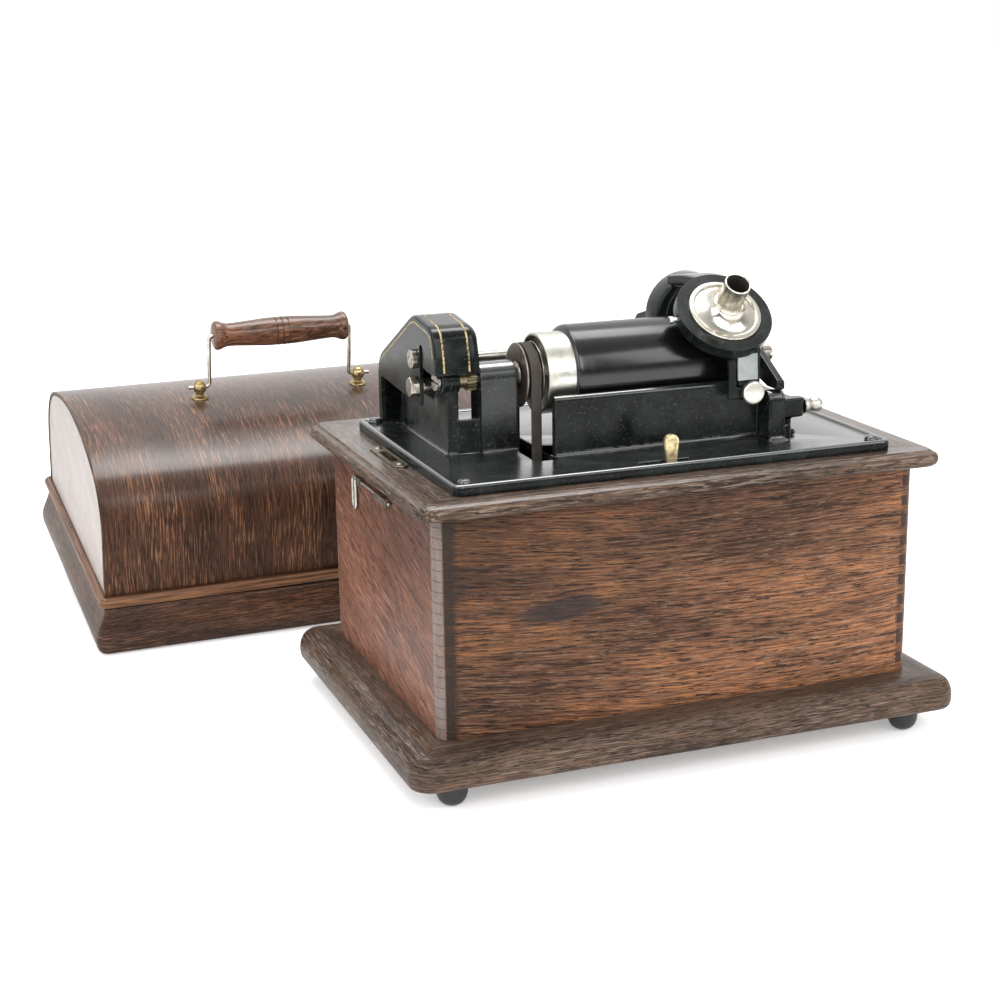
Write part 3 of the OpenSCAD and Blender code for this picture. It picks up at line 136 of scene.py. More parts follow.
def grid_faces(rows, cols, wrap_rows=False, wrap_cols=False):
    """Quads of a rows by cols grid of points, closed in either direction."""
    a = np.arange(rows if wrap_rows else rows - 1)[:, None]
    c = np.arange(cols if wrap_cols else cols - 1)[None, :]
    b, d = (a + 1) % rows, (c + 1) % cols
    return np.stack([a * cols + c, b * cols + c, b * cols + d, a * cols + d], -1).reshape(-1, 4)


def outward(points, faces):
    """The quads turned round if the volume they enclose, the sum of p0 . (p1 x p2) / 6, is negative."""
    p = points - points.mean(0)
    a, b, c, d = (p[faces[:, k]] for k in range(4))
    volume = (a * np.cross(b, c)).sum() + (a * np.cross(c, d)).sum()
    return faces if volume > 0 else faces[:, ::-1]


def dress(obj, body, stands_for):
    """Puts a piece into the scene, riding on a body in place of CAD nodes."""
    scene.collection.objects.link(obj)
    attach(obj, body)
    if stands_for:
        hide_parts(*stands_for)
    return obj


def piece(name, shape, material, body, stands_for=(), place=in_machine, smooth=35.0):
    """A named mesh from a shape (points, quads and perhaps UV), with points that coincide joined."""
    points, faces = np.asarray(shape[0], float).reshape(-1, 3), np.asarray(shape[1])
    faces = outward(points, faces)
    _, first, where = np.unique(np.round(points, 4), axis=0, return_index=True, return_inverse=True)
    where = where.reshape(-1)
    met = where[faces]
    same = met == np.roll(met, -1, 1)
    sound = (met[:, 0] != met[:, 2]) & (met[:, 1] != met[:, 3])
    quads = faces[(same.sum(1) == 0) & sound]
    short = same.sum(1) == 1
    threes = faces[short][~same[short]].reshape(-1, 3)
    mesh = bpy.data.meshes.new(name)
    mesh.from_pydata(place(points[first]).tolist(), [], where[quads].tolist() + where[threes].tolist())
    if len(shape) > 2:
        layer = mesh.uv_layers.new(name="UVMap")
        corners = np.concatenate([quads.ravel(), threes.ravel()])
        layer.data.foreach_set("uv", np.asarray(shape[2], np.float32).reshape(-1, 2)[corners].ravel())
    mesh.update()
    mesh.polygons.foreach_set("use_smooth", np.ones(len(mesh.polygons), bool))
    mesh.set_sharp_from_angle(angle=math.radians(smooth))
    mesh.materials.append(material)
    return dress(bpy.data.objects.new(name, mesh), body, stands_for)


def softened(name, node, width, material, clamp=False, segments=2, angle=30.0):
    """A copy of a CAD node's mesh, merged, with its flat faces joined and its edges rounded by a bevel. The bed
    has faces with many holes, so they stay in triangles, and its bevel is cut at once and shaded flat."""
    mesh = NODES[node].data.copy()
    mesh.name = name
    holed = node == "bed_casting"
    work = bmesh.new()
    work.from_mesh(mesh)
    bmesh.ops.remove_doubles(work, verts=work.verts, dist=2e-6)
    if holed:
        edges = [e for e in work.edges if e.calc_face_angle(0.0) > math.radians(angle)]
        bmesh.ops.bevel(work, geom=edges, offset=width / 1000.0, segments=segments, profile=0.5, affect="EDGES")
    else:
        bmesh.ops.dissolve_limit(work, angle_limit=math.radians(0.5), verts=work.verts, edges=work.edges)
    work.to_mesh(mesh)
    work.free()
    mesh.polygons.foreach_set("use_smooth", np.ones(len(mesh.polygons), bool))
    mesh.set_sharp_from_angle(angle=math.radians(18.0 if holed else angle))
    mesh.materials.clear()
    mesh.materials.append(material)
    obj = bpy.data.objects.new(name, mesh)
    if not holed:
        bevel = obj.modifiers.new("rounded_edges", "BEVEL")
        bevel.width = width / 1000.0
        bevel.segments = segments
        bevel.limit_method = "ANGLE"
        bevel.angle_limit = math.radians(angle)
        bevel.use_clamp_overlap = clamp
        bevel.harden_normals = True
    return dress(obj, body_of(NODES[node])[0], [node])


def join(*shapes):
    """Several shapes (points, quads and perhaps UV) as one, each with its faces turned outward."""
    points = [np.asarray(s[0], float).reshape(-1, 3) for s in shapes]
    start = np.cumsum([0] + [len(p) for p in points])
    faces = [outward(p, np.asarray(s[1])) + n for p, s, n in zip(points, shapes, start)]
    uv = [np.concatenate([np.asarray(s[2]).reshape(-1, 2) for s in shapes])] if len(shapes[0]) > 2 else []
    return (np.concatenate(points), np.concatenate(faces), *uv)


def arc(cx, cy, r, a0, a1, n):
    """n + 1 points (cx + r cos t, cy + r sin t) for t from a0 to a1 degrees."""
    t = np.radians(np.linspace(a0, a1, n + 1))
    return np.stack([cx + r * np.cos(t), cy + r * np.sin(t)], 1)


def smooth_line(points, steps=6):
    """A cubic curve through the points, whose slope at each is half the step between its neighbours."""
    p = np.asarray(points, float)
    p = np.vstack([2 * p[0] - p[1], p, 2 * p[-1] - p[-2]])
    t = np.linspace(0, 1, steps, endpoint=False)[None, :, None]
    a, b, c, d = (p[k:len(p) - 3 + k, None, :] for k in range(4))
    q = b + 0.5 * ((c - a) * t + (2 * a - 5 * b + 4 * c - d) * t**2 + (3 * b - a - 3 * c + d) * t**3)
    return np.vstack([q.reshape(-1, p.shape[1]), p[-2]])


def ring_surface(profile, w, d, r, z, hole, steps=10):
    """A closed profile (out, z) run round a w by d rectangle with corner radius r:
    P(v, u) = C(v) + out(u) (cos t, sin t, 0) + z(u), t the corner's angle. Points with out < 0 keep
    square corners, and points with out = HOLE follow the hole (width, depth). UV is the length along
    the run and along the profile."""
    profile = np.asarray(profile, float)
    out = profile[None, :, :1]
    k = np.repeat(np.arange(4), steps + 1)
    t = np.radians(90.0 * k + np.tile(np.linspace(0, 90, steps + 1), 4))
    side = np.array([[1, 1], [-1, 1], [-1, -1], [1, -1]])[k]
    corner = side * (w / 2 - r, d / 2 - r)
    turn = np.stack([np.cos(t), np.sin(t)], 1)
    xy = corner[:, None] + out * np.where(out < 0, side[:, None], turn[:, None])
    xy = np.where(out == HOLE, (side * (hole[0] / 2, hole[1] / 2))[:, None], xy)
    points = np.concatenate([xy, np.broadcast_to(profile[None, :, 1:] + z, (*xy.shape[:2], 1))], 2)
    points = np.concatenate([points, points[:1]])
    step = np.linalg.norm(np.diff(corner + r * turn, axis=0), axis=1)
    along = np.concatenate([[0], np.cumsum(step)])
    along = np.append(along, along[-1] + d - 2 * r)
    gap = np.minimum(np.linalg.norm(np.diff(profile, axis=0), axis=1), 60.0)
    travel = np.concatenate([[0], np.cumsum(gap)])
    uv = np.stack(np.broadcast_arrays(along[:, None], travel[None, :]), -1)
    return points, grid_faces(*points.shape[:2]), uv


def lathe(profile, steps=64, ripple=None):
    """A profile (r, s) turned about Z: P(t, u) = (r cos t, r sin t, s), with r times 1 + ripple(t, u)."""
    profile = np.asarray(profile, float)
    t = np.linspace(0, 2 * np.pi, steps, endpoint=False)[:, None]
    r = profile[None, :, 0] * (1.0 if ripple is None else 1.0 + ripple(t, profile[None, :, 1]))
    s = np.broadcast_to(profile[None, :, 1], (steps, len(profile)))
    points = np.stack([r * np.cos(t), r * np.sin(t), s], -1)
    return points, grid_faces(steps, len(profile), wrap_rows=True)


def along_x(shape, y, z):
    """A shape drawn about Z, turned so that its axis runs along X at (y, z)."""
    p = np.asarray(shape[0], float)
    return np.stack([p[..., 2], p[..., 0] + y, p[..., 1] + z], -1), shape[1]


def along_y(shape, x, z):
    """A shape drawn about Z, turned so that its axis runs along Y at (x, z)."""
    p = np.asarray(shape[0], float)
    return np.stack([p[..., 0] + x, p[..., 2], p[..., 1] + z], -1), shape[1]


def moved(shape, shift):
    """A shape moved by a vector."""
    return np.asarray(shape[0], float) + shift, shape[1]


def rounded_box(half_a, half_b, r, n=4):
    """A rectangle of half sizes a and b with corners of radius r, as a closed line."""
    return np.concatenate([arc(sa * (half_a - r), sb * (half_b - r), r, t, t + 90, n)
                           for sa, sb, t in ((1, 1, 0), (-1, 1, 90), (-1, -1, 180), (1, -1, 270))])


def tube(path, r, across, sides=14):
    """A round wire on a flat path: P(s, t) = C(s) + r (A cos t + (A x T) sin t), with A square to the
    path's plane, T along it, and both ends drawn in to a point."""
    path = np.asarray(path, float)
    tangent = np.gradient(path, axis=0)
    tangent /= np.linalg.norm(tangent, axis=1)[:, None]
    r = np.concatenate([[0.0, 0.75], np.ones(len(path)), [0.75, 0.0]]) * r
    cap = np.array([[0.35], [0.2]])
    path = np.concatenate([path[[0, 0]] - tangent[:1] * cap, path, path[[-1, -1]] + tangent[-1:] * cap[::-1]])
    tangent = np.concatenate([tangent[[0, 0]], tangent, tangent[[-1, -1]]])
    a = np.broadcast_to(np.asarray(across, float), tangent.shape)
    b = np.cross(a, tangent)
    t = np.linspace(0, 2 * np.pi, sides, endpoint=False)[None, :, None]
    points = path[:, None] + r[:, None, None] * (a[:, None] * np.cos(t) + b[:, None] * np.sin(t))
    return points, grid_faces(len(path), sides, wrap_cols=True)


def shell(outer, inner, uv=None):
    """A closed skin: two sheets over the same two parameters, joined round their rim."""
    loop = np.concatenate([outer, inner[:, ::-1]], 1)
    rows, cols = loop.shape[:2]
    j = np.arange(cols // 2 - 1)
    cap = np.stack([j, j + 1, cols - 2 - j, cols - 1 - j], 1)
    faces = np.concatenate([grid_faces(rows, cols, wrap_cols=True), cap, cap[:, ::-1] + (rows - 1) * cols])
    return (loop, faces) if uv is None else (loop, faces, np.concatenate([uv, uv[:, ::-1]], 1))


# Shader helpers


class Field:
    """A value over the surface: a shader socket whose arithmetic adds Math nodes to its tree."""

    def __init__(self, tree, socket):
        self.tree, self.socket = tree, socket

    def step(self, kind, other=0.0):
        """One Math node on this value and another field or number."""
        return made(self.tree, "ShaderNodeMath", {0: self, 1: other}, operation=kind)

    def __add__(self, other):
        return self.step("ADD", other)

    def __sub__(self, other):
        return self.step("SUBTRACT", other)

    def __mul__(self, other):
        return self.step("MULTIPLY", other)

    def __lt__(self, other):
        return self.step("LESS_THAN", other)

    def __gt__(self, other):
        return self.step("GREATER_THAN", other)

    def __abs__(self):
        return self.step("ABSOLUTE")


def feed(tree, value, socket):
    """Links a field to a socket, or sets the socket to a number, a vector or a colour."""
    if isinstance(value, Field):
        tree.links.new(value.socket, socket)
    elif socket.type == "RGBA":
        socket.default_value = (*value[:3], 1)
    else:
        socket.default_value = value


def shader_node(tree, kind, inputs=None, **settings):
    """A shader node with its settings made and its inputs fed."""
    item = tree.nodes.new(kind)
    for key, value in settings.items():
        setattr(item, key, value)
    for key, value in (inputs or {}).items():
        feed(tree, value, item.inputs[key])
    return item


def made(tree, kind, inputs=None, output=0, **settings):
    """One output of a new shader node, as a field."""
    return Field(tree, shader_node(tree, kind, inputs, **settings).outputs[output])


def tree_of(*values):
    """The tree of the first field among some values."""
    return next(v.tree for v in values if isinstance(v, Field))


def ramp(value, low, high, smooth=True):
    """A ramp from one (place, grey) to another."""
    item = shader_node(value.tree, "ShaderNodeValToRGB", {0: value})
    item.color_ramp.interpolation = "EASE" if smooth else "LINEAR"
    for mark, (place, grey) in zip(item.color_ramp.elements, (low, high)):
        mark.position = place
        mark.color = (grey, grey, grey, 1)
    return Field(value.tree, item.outputs[0])


def ranged(value, start, end, first, last):
    """A straight line from first, where the value is start, to last, where it is end, and level beyond."""
    return made(value.tree, "ShaderNodeMapRange", {0: value, 1: start, 2: end, 3: first, 4: last})


def band(value, low, high, soft):
    """1 where the value lies between low and high, with soft ends."""
    return ranged(value, low - soft, low, 0.0, 1.0) * ranged(value, high, high + soft, 1.0, 0.0)


def mix(fac, a, b, mode="MIX"):
    """Colour mix of fields or colours."""
    return made(tree_of(fac, a, b), "ShaderNodeMix", {0: fac, 6: a, 7: b}, 2, data_type="RGBA", blend_type=mode)


def noise(vector, stretch, detail=4.0, rough=0.55):
    """Noise over a vector stretched by counts per millimetre, the same for all axes or one for each."""
    stretch = stretch if isinstance(stretch, tuple) else (stretch,) * 3
    scaled = made(vector.tree, "ShaderNodeVectorMath", {0: vector, 1: stretch}, operation="MULTIPLY")
    settings = {"Vector": scaled, "Scale": 1.0, "Detail": detail, "Roughness": rough}
    return made(vector.tree, "ShaderNodeTexNoise", settings, "Fac")


def machine_mm(tree):
    """Object coordinates in millimetres of the machine."""
    coord = made(tree, "ShaderNodeTexCoord", output="Object")
    return made(tree, "ShaderNodeVectorMath", {0: coord, 1: (1000.0,) * 3, 2: tuple(-MACHINE)},
                operation="MULTIPLY_ADD")


def uv_mm(tree):
    """UV coordinates, which are kept in millimetres."""
    return made(tree, "ShaderNodeTexCoord", output="UV")


def parts(vector):
    """The three parts of a vector."""
    return [Field(vector.tree, s) for s in shader_node(vector.tree, "ShaderNodeSeparateXYZ", {0: vector}).outputs]


def vector_of(x, y, z):
    """A vector of three parts."""
    return made(tree_of(x, y, z), "ShaderNodeCombineXYZ", {0: x, 1: y, 2: z})


def new_material(name):
    """A material with an empty Principled shader, and its tree."""
    material = bpy.data.materials.new(name)
    material.use_nodes = True
    tree = material.node_tree
    tree.nodes.clear()
    shader = tree.nodes.new("ShaderNodeBsdfPrincipled")
    out = tree.nodes.new("ShaderNodeOutputMaterial")
    tree.links.new(shader.outputs[0], out.inputs[0])
    return material, tree, shader


def finish_shader(tree, shader, colour, roughness, height=None, strength=0.3, distance=0.0003, **sockets):
    """Feeds colour, roughness and a bump to the shader, and sets its other sockets."""
    feed(tree, colour, shader.inputs["Base Color"])
    feed(tree, roughness, shader.inputs["Roughness"])
    if height is not None:
        bump = made(tree, "ShaderNodeBump", {"Strength": strength, "Distance": distance, "Height": height})
        feed(tree, bump, shader.inputs["Normal"])
    for key, value in sockets.items():
        feed(tree, value, shader.inputs[key.replace("_", " ")])


def sheen(tree, shader, side, top, start=0.3, least=0.0):
    """Links the coat's weight: side on upright faces, top on those that look up, by the normal's z from start on,
    and nowhere under least."""
    up = parts(made(tree, "ShaderNodeNewGeometry", output="Normal"))[2]
    feed(tree, ranged(up, start, 0.9, side, top).step("MAXIMUM", least), shader.inputs["Coat Weight"])


GROUP_OUTPUTS = ("Color", "Roughness", "Height")


def new_group(name, colours, values):
    """A shader group with a Vector input, colour inputs and value inputs, and those inputs as fields by name."""
    tree = bpy.data.node_groups.new(name, "ShaderNodeTree")
    kinds = {"Vector": "Vector", **dict.fromkeys(colours, "Color"), **dict.fromkeys(values, "Float")}
    for key, kind in kinds.items():
        tree.interface.new_socket(key, in_out="INPUT", socket_type="NodeSocket" + kind)
    for key in GROUP_OUTPUTS:
        kind = "Color" if key == "Color" else "Float"
        tree.interface.new_socket(key, in_out="OUTPUT", socket_type="NodeSocket" + kind)
    given = tree.nodes.new("NodeGroupInput").outputs
    return tree, {key: Field(tree, given[key]) for key in kinds}


def end_group(tree, *results):
    """Feeds colour, roughness and height to a group's outputs."""
    item = tree.nodes.new("NodeGroupOutput")
    for key, value in zip(GROUP_OUTPUTS, results):
        feed(tree, value, item.inputs[key])
    return tree


def from_group(tree, group, inputs):
    """Colour, roughness and height of a shared group placed with its own inputs."""
    item = shader_node(tree, "ShaderNodeGroup", inputs, node_tree=group)
    return [Field(tree, item.outputs[key]) for key in GROUP_OUTPUTS]


# Oak

OAK_COLOURS = ("Dark", "Middle", "Light", "Fleck")
PORE, DUST = (0.008, 0.005, 0.004), (0.29, 0.205, 0.15)


def oak_group():
    """Shader group for fumed oak. Its vector runs along the grain, across it and into the wood, in mm."""
    tree, given = new_group("oak_grain", OAK_COLOURS, ("Light amount", "Fleck amount", "Dust", "Pores"))
    vector = given["Vector"]
    wander = (noise(vector, (0.006, 0.014, 0.010), 1.0) - 0.5) * 9.0
    vector = made(tree, "ShaderNodeVectorMath", {0: vector, 1: vector_of(0.0, wander, 0.0)})
    broad = noise(vector, (0.007, 0.030, 0.025), 3.0)
    streak = noise(vector, (0.018, 0.45, 0.25), 4.0, 0.7)
    line = noise(vector, (0.048, 1.15, 0.6), 3.0, 0.7)
    fine = noise(vector, (0.085, 1.25, 0.8), 2.0, 0.6)
    hair = noise(vector, (0.12, 1.5, 1.2), 1.0, 0.5)
    ray = noise(vector, (0.050, 1.0, 0.5), 1.0, 0.5)
    tone = broad * 0.3 + streak * 0.3 + line * 0.4
    body = mix(ramp(tone, (0.41, 0.0), (0.55, 1.0), False), given["Dark"], given["Middle"])
    patch = ramp(broad, (0.42, 0.0), (0.60, 1.0)) * ramp(streak, (0.42, 0.0), (0.58, 1.0))
    patch = patch * ramp(line, (0.49, 0.05), (0.54, 1.0), False)
    body = mix(patch * given["Light amount"], body, given["Light"])
    groups = ramp(noise(vector, (0.012, 0.035, 0.03), 3.0), (0.40, 0.2), (0.60, 1.1))
    marks = ramp(ray, (0.565, 0.0), (0.605, 1.0), False) * given["Fleck amount"] * groups
    body = mix(marks, body, given["Fleck"])
    pores = ramp(fine, (0.385, 1.0), (0.425, 0.0))
    body = mix(pores * given["Pores"], body, PORE)
    body = mix(ramp(hair, (0.63, 0.0), (0.67, 1.0)) * given["Dust"], body, DUST)
    return end_group(tree, body, ramp(streak, (0.25, 0.38), (0.75, 0.56)), fine - pores * 0.6)


OAK = oak_group()


def oak_material(name, vector, colours, light=0.6, fleck=0.4, dust=0.3, coat=(0.05, 0.5), stains_and_painted_light=None, bump=0.4,
                 pores=0.85):
    """Fumed oak on a vector made by vector(tree). A colour function may darken or lighten it by place: stains, and
    painted light and shade.
    """
    material, tree, shader = new_material(name)
    inputs = {"Vector": vector(tree), "Light amount": light, "Fleck amount": fleck, "Dust": dust, "Pores": pores}
    colour, roughness, height = from_group(tree, OAK, {**inputs, **dict(zip(OAK_COLOURS, colours))})
    finish_shader(tree, shader, stains_and_painted_light(colour) if stains_and_painted_light else colour, roughness, height, bump, 0.00025,
                  Coat_Roughness=0.24, Coat_IOR=1.6, Specular_IOR_Level=0.1)
    sheen(tree, shader, *coat)
    return material


def front_grain(tree):
    """Grain along X that climbs to the right: across = z + 0.035 x - 0.00028 x^2."""
    x, y, z = parts(machine_mm(tree))
    return vector_of(x, z + (x * 0.035 - x * x * 0.00028), y)


def side_grain(tree):
    """Grain along Y: across = z - lean * y, with a lean of a third on the left board and nearly none on the right."""
    x, y, z = parts(machine_mm(tree))
    return vector_of(y, z - y * ((x < 0.0) * 0.35 - 0.03), x)


def framed_grain(tree, half_w=166.5, half_d=120.0):
    """Grain along each side of a mitred frame: along Y where |x| - half_w is more than |y| - half_d."""
    x, y, z = parts(machine_mm(tree))
    ends = abs(x) - half_w > abs(y) - half_d
    return made(tree, "ShaderNodeMix", {0: ends, 4: vector_of(x, y, z), 5: vector_of(y, x, z)}, 1, data_type="VECTOR")


# Corner joints of the case: height of one finger, inner ends on the sides and on the front, where the front begins
FINGER_H = (Z_TOP - Z_CASE) / 21
JOINT_Y, JOINT_X, FRONT_Y = 97.0, 145.0, -105.8
BLOT_X, BLOT_Z, BLOT_W, BLOT_H = -80.0, 112.0, 38.0, 10.0


def case_stain_and_painted_light(colour):
    """Painted light and shade: the front darker towards its upper left and lighter towards its lower right, and the
    sides lighter towards the bottom, as the light falls; on the front, dark blots. On the front's upright corners the
    fingers of the joint are dark. On the sides they are parted by fine lines, and their rounded edge is made pale, as
    wear and as a painted highlight, strongest at the front left corner."""
    p = machine_mm(colour.tree)
    x, y, z = parts(p)
    face = y < FRONT_Y
    # Painted light: the front darker towards the upper left and lighter towards the lower right, the sides lighter
    # towards the bottom, where the light falls.
    front_painted_light = x * 0.0022 + z * -0.0046 + 1.44
    side_painted_light = z * -0.006 + 1.72
    painted_light_factor = made(colour.tree, "ShaderNodeMix", {0: face, 2: side_painted_light, 3: front_painted_light}, data_type="FLOAT")
    colour = mix(1.0, colour, vector_of(painted_light_factor, painted_light_factor, painted_light_factor), "MULTIPLY")
    blots = ramp(noise(p, (0.012, 0.02, 0.03), 3.0), (0.62, 0.0), (0.74, 0.7))
    du = (x - BLOT_X) * (1.0 / BLOT_W)
    dv = (z - (x * 0.07 + BLOT_Z)) * (1.0 / BLOT_H)
    far = du * du + dv * dv + noise(p, (0.05, 0.2, 0.3), 3.0) * 1.2
    blots = blots.step("MAXIMUM", ramp(far * 0.5, (0.35, 0.8), (0.75, 0.0)))
    colour = mix(blots * face, colour, (0.017, 0.015, 0.017))
    finger = (z - Z_CASE) * (1.0 / FINGER_H)
    odd = finger.step("FLOOR").step("MODULO", 2.0)
    left = band(x, -200.0, -JOINT_X, 4.0) * (odd * 0.1 + 0.86)
    right = band(x, JOINT_X, 200.0, 0.8) * (odd * 0.55 + 0.3)
    dark = mix(noise(p, (0.3, 0.3, 0.5), 3.0), (0.009, 0.007, 0.006), (0.035, 0.022, 0.016))
    colour = mix(left.step("MAXIMUM", right) * face, colour, dark)
    # The sides' rounded corner strip made pale: wear of the finish and a painted highlight, strongest at the front left
    # corner.
    side = band(abs(y), JOINT_Y, 105.3, 0.8) * (abs(x) > 146.0)
    painted_highlight_share = (x < 0.0) * (y < 0.0) * 0.8 + 0.2
    wear_and_painted_highlight = ramp(noise(p, (0.2, 0.2, 0.04), 3.0), (0.3, 0.55), (0.7, 0.95))
    colour = mix(side * painted_highlight_share * wear_and_painted_highlight, colour, (0.165, 0.136, 0.126))
    line = band(finger.step("FRACT"), 0.08, 0.92, 0.05) * -1.0 + 1.0
    seam = line.step("MAXIMUM", band(abs(y), JOINT_Y - 0.4, JOINT_Y + 0.3, 0.3))
    return mix(side * seam * 0.42, colour, (0.02, 0.015, 0.013))


def bead_painted_light(colour):
    """On the lid's frame: a painted highlight on the bead, light brown in streaks, and painted shade, a dark band in
    the groove under it.
    """
    run = uv_mm(colour.tree)
    across = parts(run)[1]
    streak = ramp(noise(run, (0.02, 0.5, 0.5), 3.0), (0.38, 0.1), (0.62, 0.8))
    # Painted highlight in streaks on the bead, then painted shade in the groove below it.
    colour = mix(band(across, BEAD[0] + 3.0, BEAD[1] - 1.0, 1.5) * streak, colour, (0.21, 0.095, 0.043))
    return mix(band(across, BEAD[0] - 1.0, BEAD[0] + 1.0, 0.5), colour, (0.008, 0.005, 0.004))


# Dark, middle and light wood and the flecks
BROWN = ((0.024, 0.011, 0.007), (0.135, 0.062, 0.033), (0.30, 0.118, 0.042), (0.27, 0.14, 0.075))
RED = ((0.052, 0.021, 0.013), (0.125, 0.053, 0.034), (0.20, 0.083, 0.045), (0.36, 0.20, 0.145))
GREY = ((0.018, 0.011, 0.008), (0.082, 0.052, 0.036), (0.15, 0.088, 0.054), (0.25, 0.195, 0.155))
BENT = ((0.016, 0.007, 0.004), (0.060, 0.027, 0.015), (0.12, 0.050, 0.024), (0.23, 0.105, 0.056))
# The lid's ends: oak made pale, a painted reflection of the glare on them.
PALE_PAINTED_GLARE = ((0.26, 0.225, 0.21), (0.36, 0.315, 0.295), (0.41, 0.36, 0.335), (0.50, 0.45, 0.425))
TURNED = ((0.042, 0.017, 0.010), (0.13, 0.053, 0.029), (0.25, 0.105, 0.05), (0.34, 0.19, 0.11))

front_oak = oak_material("front_oak", front_grain, BROWN, 0.8, 0.3, 0.3, (0.04, 0.3), case_stain_and_painted_light)
side_oak = oak_material("side_oak", side_grain, RED, 0.5, 0.4, 0.1, (0.06, 0.3), case_stain_and_painted_light)
frame_oak = oak_material("frame_oak", framed_grain, GREY, 0.4, 0.4, 0.3, (0.04, 0.8, 0.8))
run_oak = oak_material("run_oak", uv_mm, GREY, 0.5, 0.4, 0.3, (0.04, 0.45, 0.8))
lid_oak = oak_material("lid_oak", uv_mm, BENT, 0.5, 0.65, 0.06, (0.0, 0.85))
lid_run_oak = oak_material("lid_run_oak", uv_mm, BENT, 0.8, 0.35, 0.15, (0.1, 0.6), bead_painted_light)
lid_end_painted_glare = oak_material("lid_end_painted_glare", uv_mm, PALE_PAINTED_GLARE, 0.3, 0.3, 0.15, (0.15, 0.3), pores=0.12)
plain_oak = oak_material("plain_oak", machine_mm, BROWN, 0.4, 0.3, 0.2)
grip_wood = oak_material("grip_wood", machine_mm, TURNED, 0.7, 0.3, 0.1, (0.4, 1.0), bump=0.15)


# Metals and the rest


def metal(name, colour, roughness, tint, spots, brushed=0.8, scale=0.12):
    """Metal with uneven polish; spots of a darker tint; brushed gives counts per mm along X, Y and Z."""
    material, tree, shader = new_material(name)
    p = machine_mm(tree)
    cloud = noise(p, scale)
    shade = mix(ramp(cloud, (0.42, 0.0), (0.72, 1.0)) * spots, colour, tint)
    polish = ramp(cloud, (0.3, roughness - 0.07), (0.75, roughness + 0.12))
    finish_shader(tree, shader, shade, polish, noise(p, brushed, 3.0), 0.12, 0.0001, Metallic=1.0)
    return material


nickel = metal("nickel", (0.64, 0.61, 0.54), 0.2, (0.33, 0.28, 0.21), 0.5)
drum_nickel = metal("drum_nickel", (0.56, 0.555, 0.505), 0.34, (0.35, 0.32, 0.26), 0.5)
knob_nickel = metal("knob_nickel", (0.60, 0.58, 0.53), 0.34, (0.36, 0.31, 0.25), 0.5)
aged_nickel = metal("aged_nickel", (0.40, 0.365, 0.32), 0.28, (0.12, 0.09, 0.065), 0.75, scale=0.25)
zinc_wire = metal("zinc_wire", (0.38, 0.365, 0.335), 0.33, (0.16, 0.14, 0.12), 0.6)
bright_wire = metal("bright_wire", (0.55, 0.53, 0.48), 0.24, (0.22, 0.19, 0.15), 0.5)
aged_plate = metal("aged_plate", (0.24, 0.205, 0.165), 0.36, (0.08, 0.06, 0.045), 0.8, scale=0.3)
steel = metal("steel", (0.40, 0.385, 0.365), 0.3, (0.17, 0.14, 0.11), 0.65, (0.05, 3.0, 3.0))
dark_steel = metal("dark_steel", (0.25, 0.215, 0.185), 0.36, (0.08, 0.066, 0.058), 0.75)
thread_steel = metal("thread_steel", (0.38, 0.365, 0.34), 0.3, (0.15, 0.12, 0.09), 0.6, (2.2, 0.05, 0.05))
brass = metal("brass", (0.40, 0.305, 0.155), 0.34, (0.13, 0.085, 0.036), 0.7)
pale_brass = metal("pale_brass", (0.58, 0.47, 0.27), 0.36, (0.26, 0.19, 0.09), 0.6, scale=0.5)
bronze = metal("bronze", (0.24, 0.20, 0.12), 0.34, (0.06, 0.045, 0.027), 0.75, scale=0.3)


def wear_group():
    """Shader group for black japanning: mottled black, pale specks, scratches, and bare metal on the edges."""
    tree, given = new_group("japanning", (), ("Specks", "Edges", "Gloss"))
    p = given["Vector"]
    cloud = noise(p, 0.06, 5.0, 0.6)
    colour = mix(ramp(cloud, (0.35, 0.0), (0.7, 1.0)), (0.003, 0.004, 0.0037), (0.011, 0.0155, 0.0138))
    specks = ramp(noise(p, 0.9, 3.0, 0.6), (0.67, 0.0), (0.74, 1.0)) * given["Specks"]
    colour = mix(specks, colour, (0.17, 0.17, 0.15))
    x, y, z = parts(p)
    slant = vector_of(x, y + z * 0.7, z - y * 0.7)
    lines = ramp(noise(slant, (0.5, 1.1, 0.035), 2.0, 0.6), (0.62, 0.0), (0.68, 1.0)) * given["Specks"]
    colour = mix(lines, colour, (0.075, 0.07, 0.06))
    eased = made(tree, "ShaderNodeBevel", {"Radius": 0.0008}, samples=4)
    true = made(tree, "ShaderNodeNewGeometry", output="Normal")
    turn = made(tree, "ShaderNodeVectorMath", {0: eased, 1: true}, "Value", operation="DOT_PRODUCT")
    wear_and_painted_highlight = ramp(turn, (0.86, 1.0), (0.98, 0.0)) * ramp(noise(p, 0.25, 3.0), (0.4, 0.0), (0.6, 1.0))
    colour = mix(wear_and_painted_highlight * given["Edges"], colour, (0.15, 0.145, 0.125))
    return end_group(tree, colour, given["Gloss"] + cloud * 0.28, noise(p, 0.35, 5.0, 0.6))


JAPAN = wear_group()


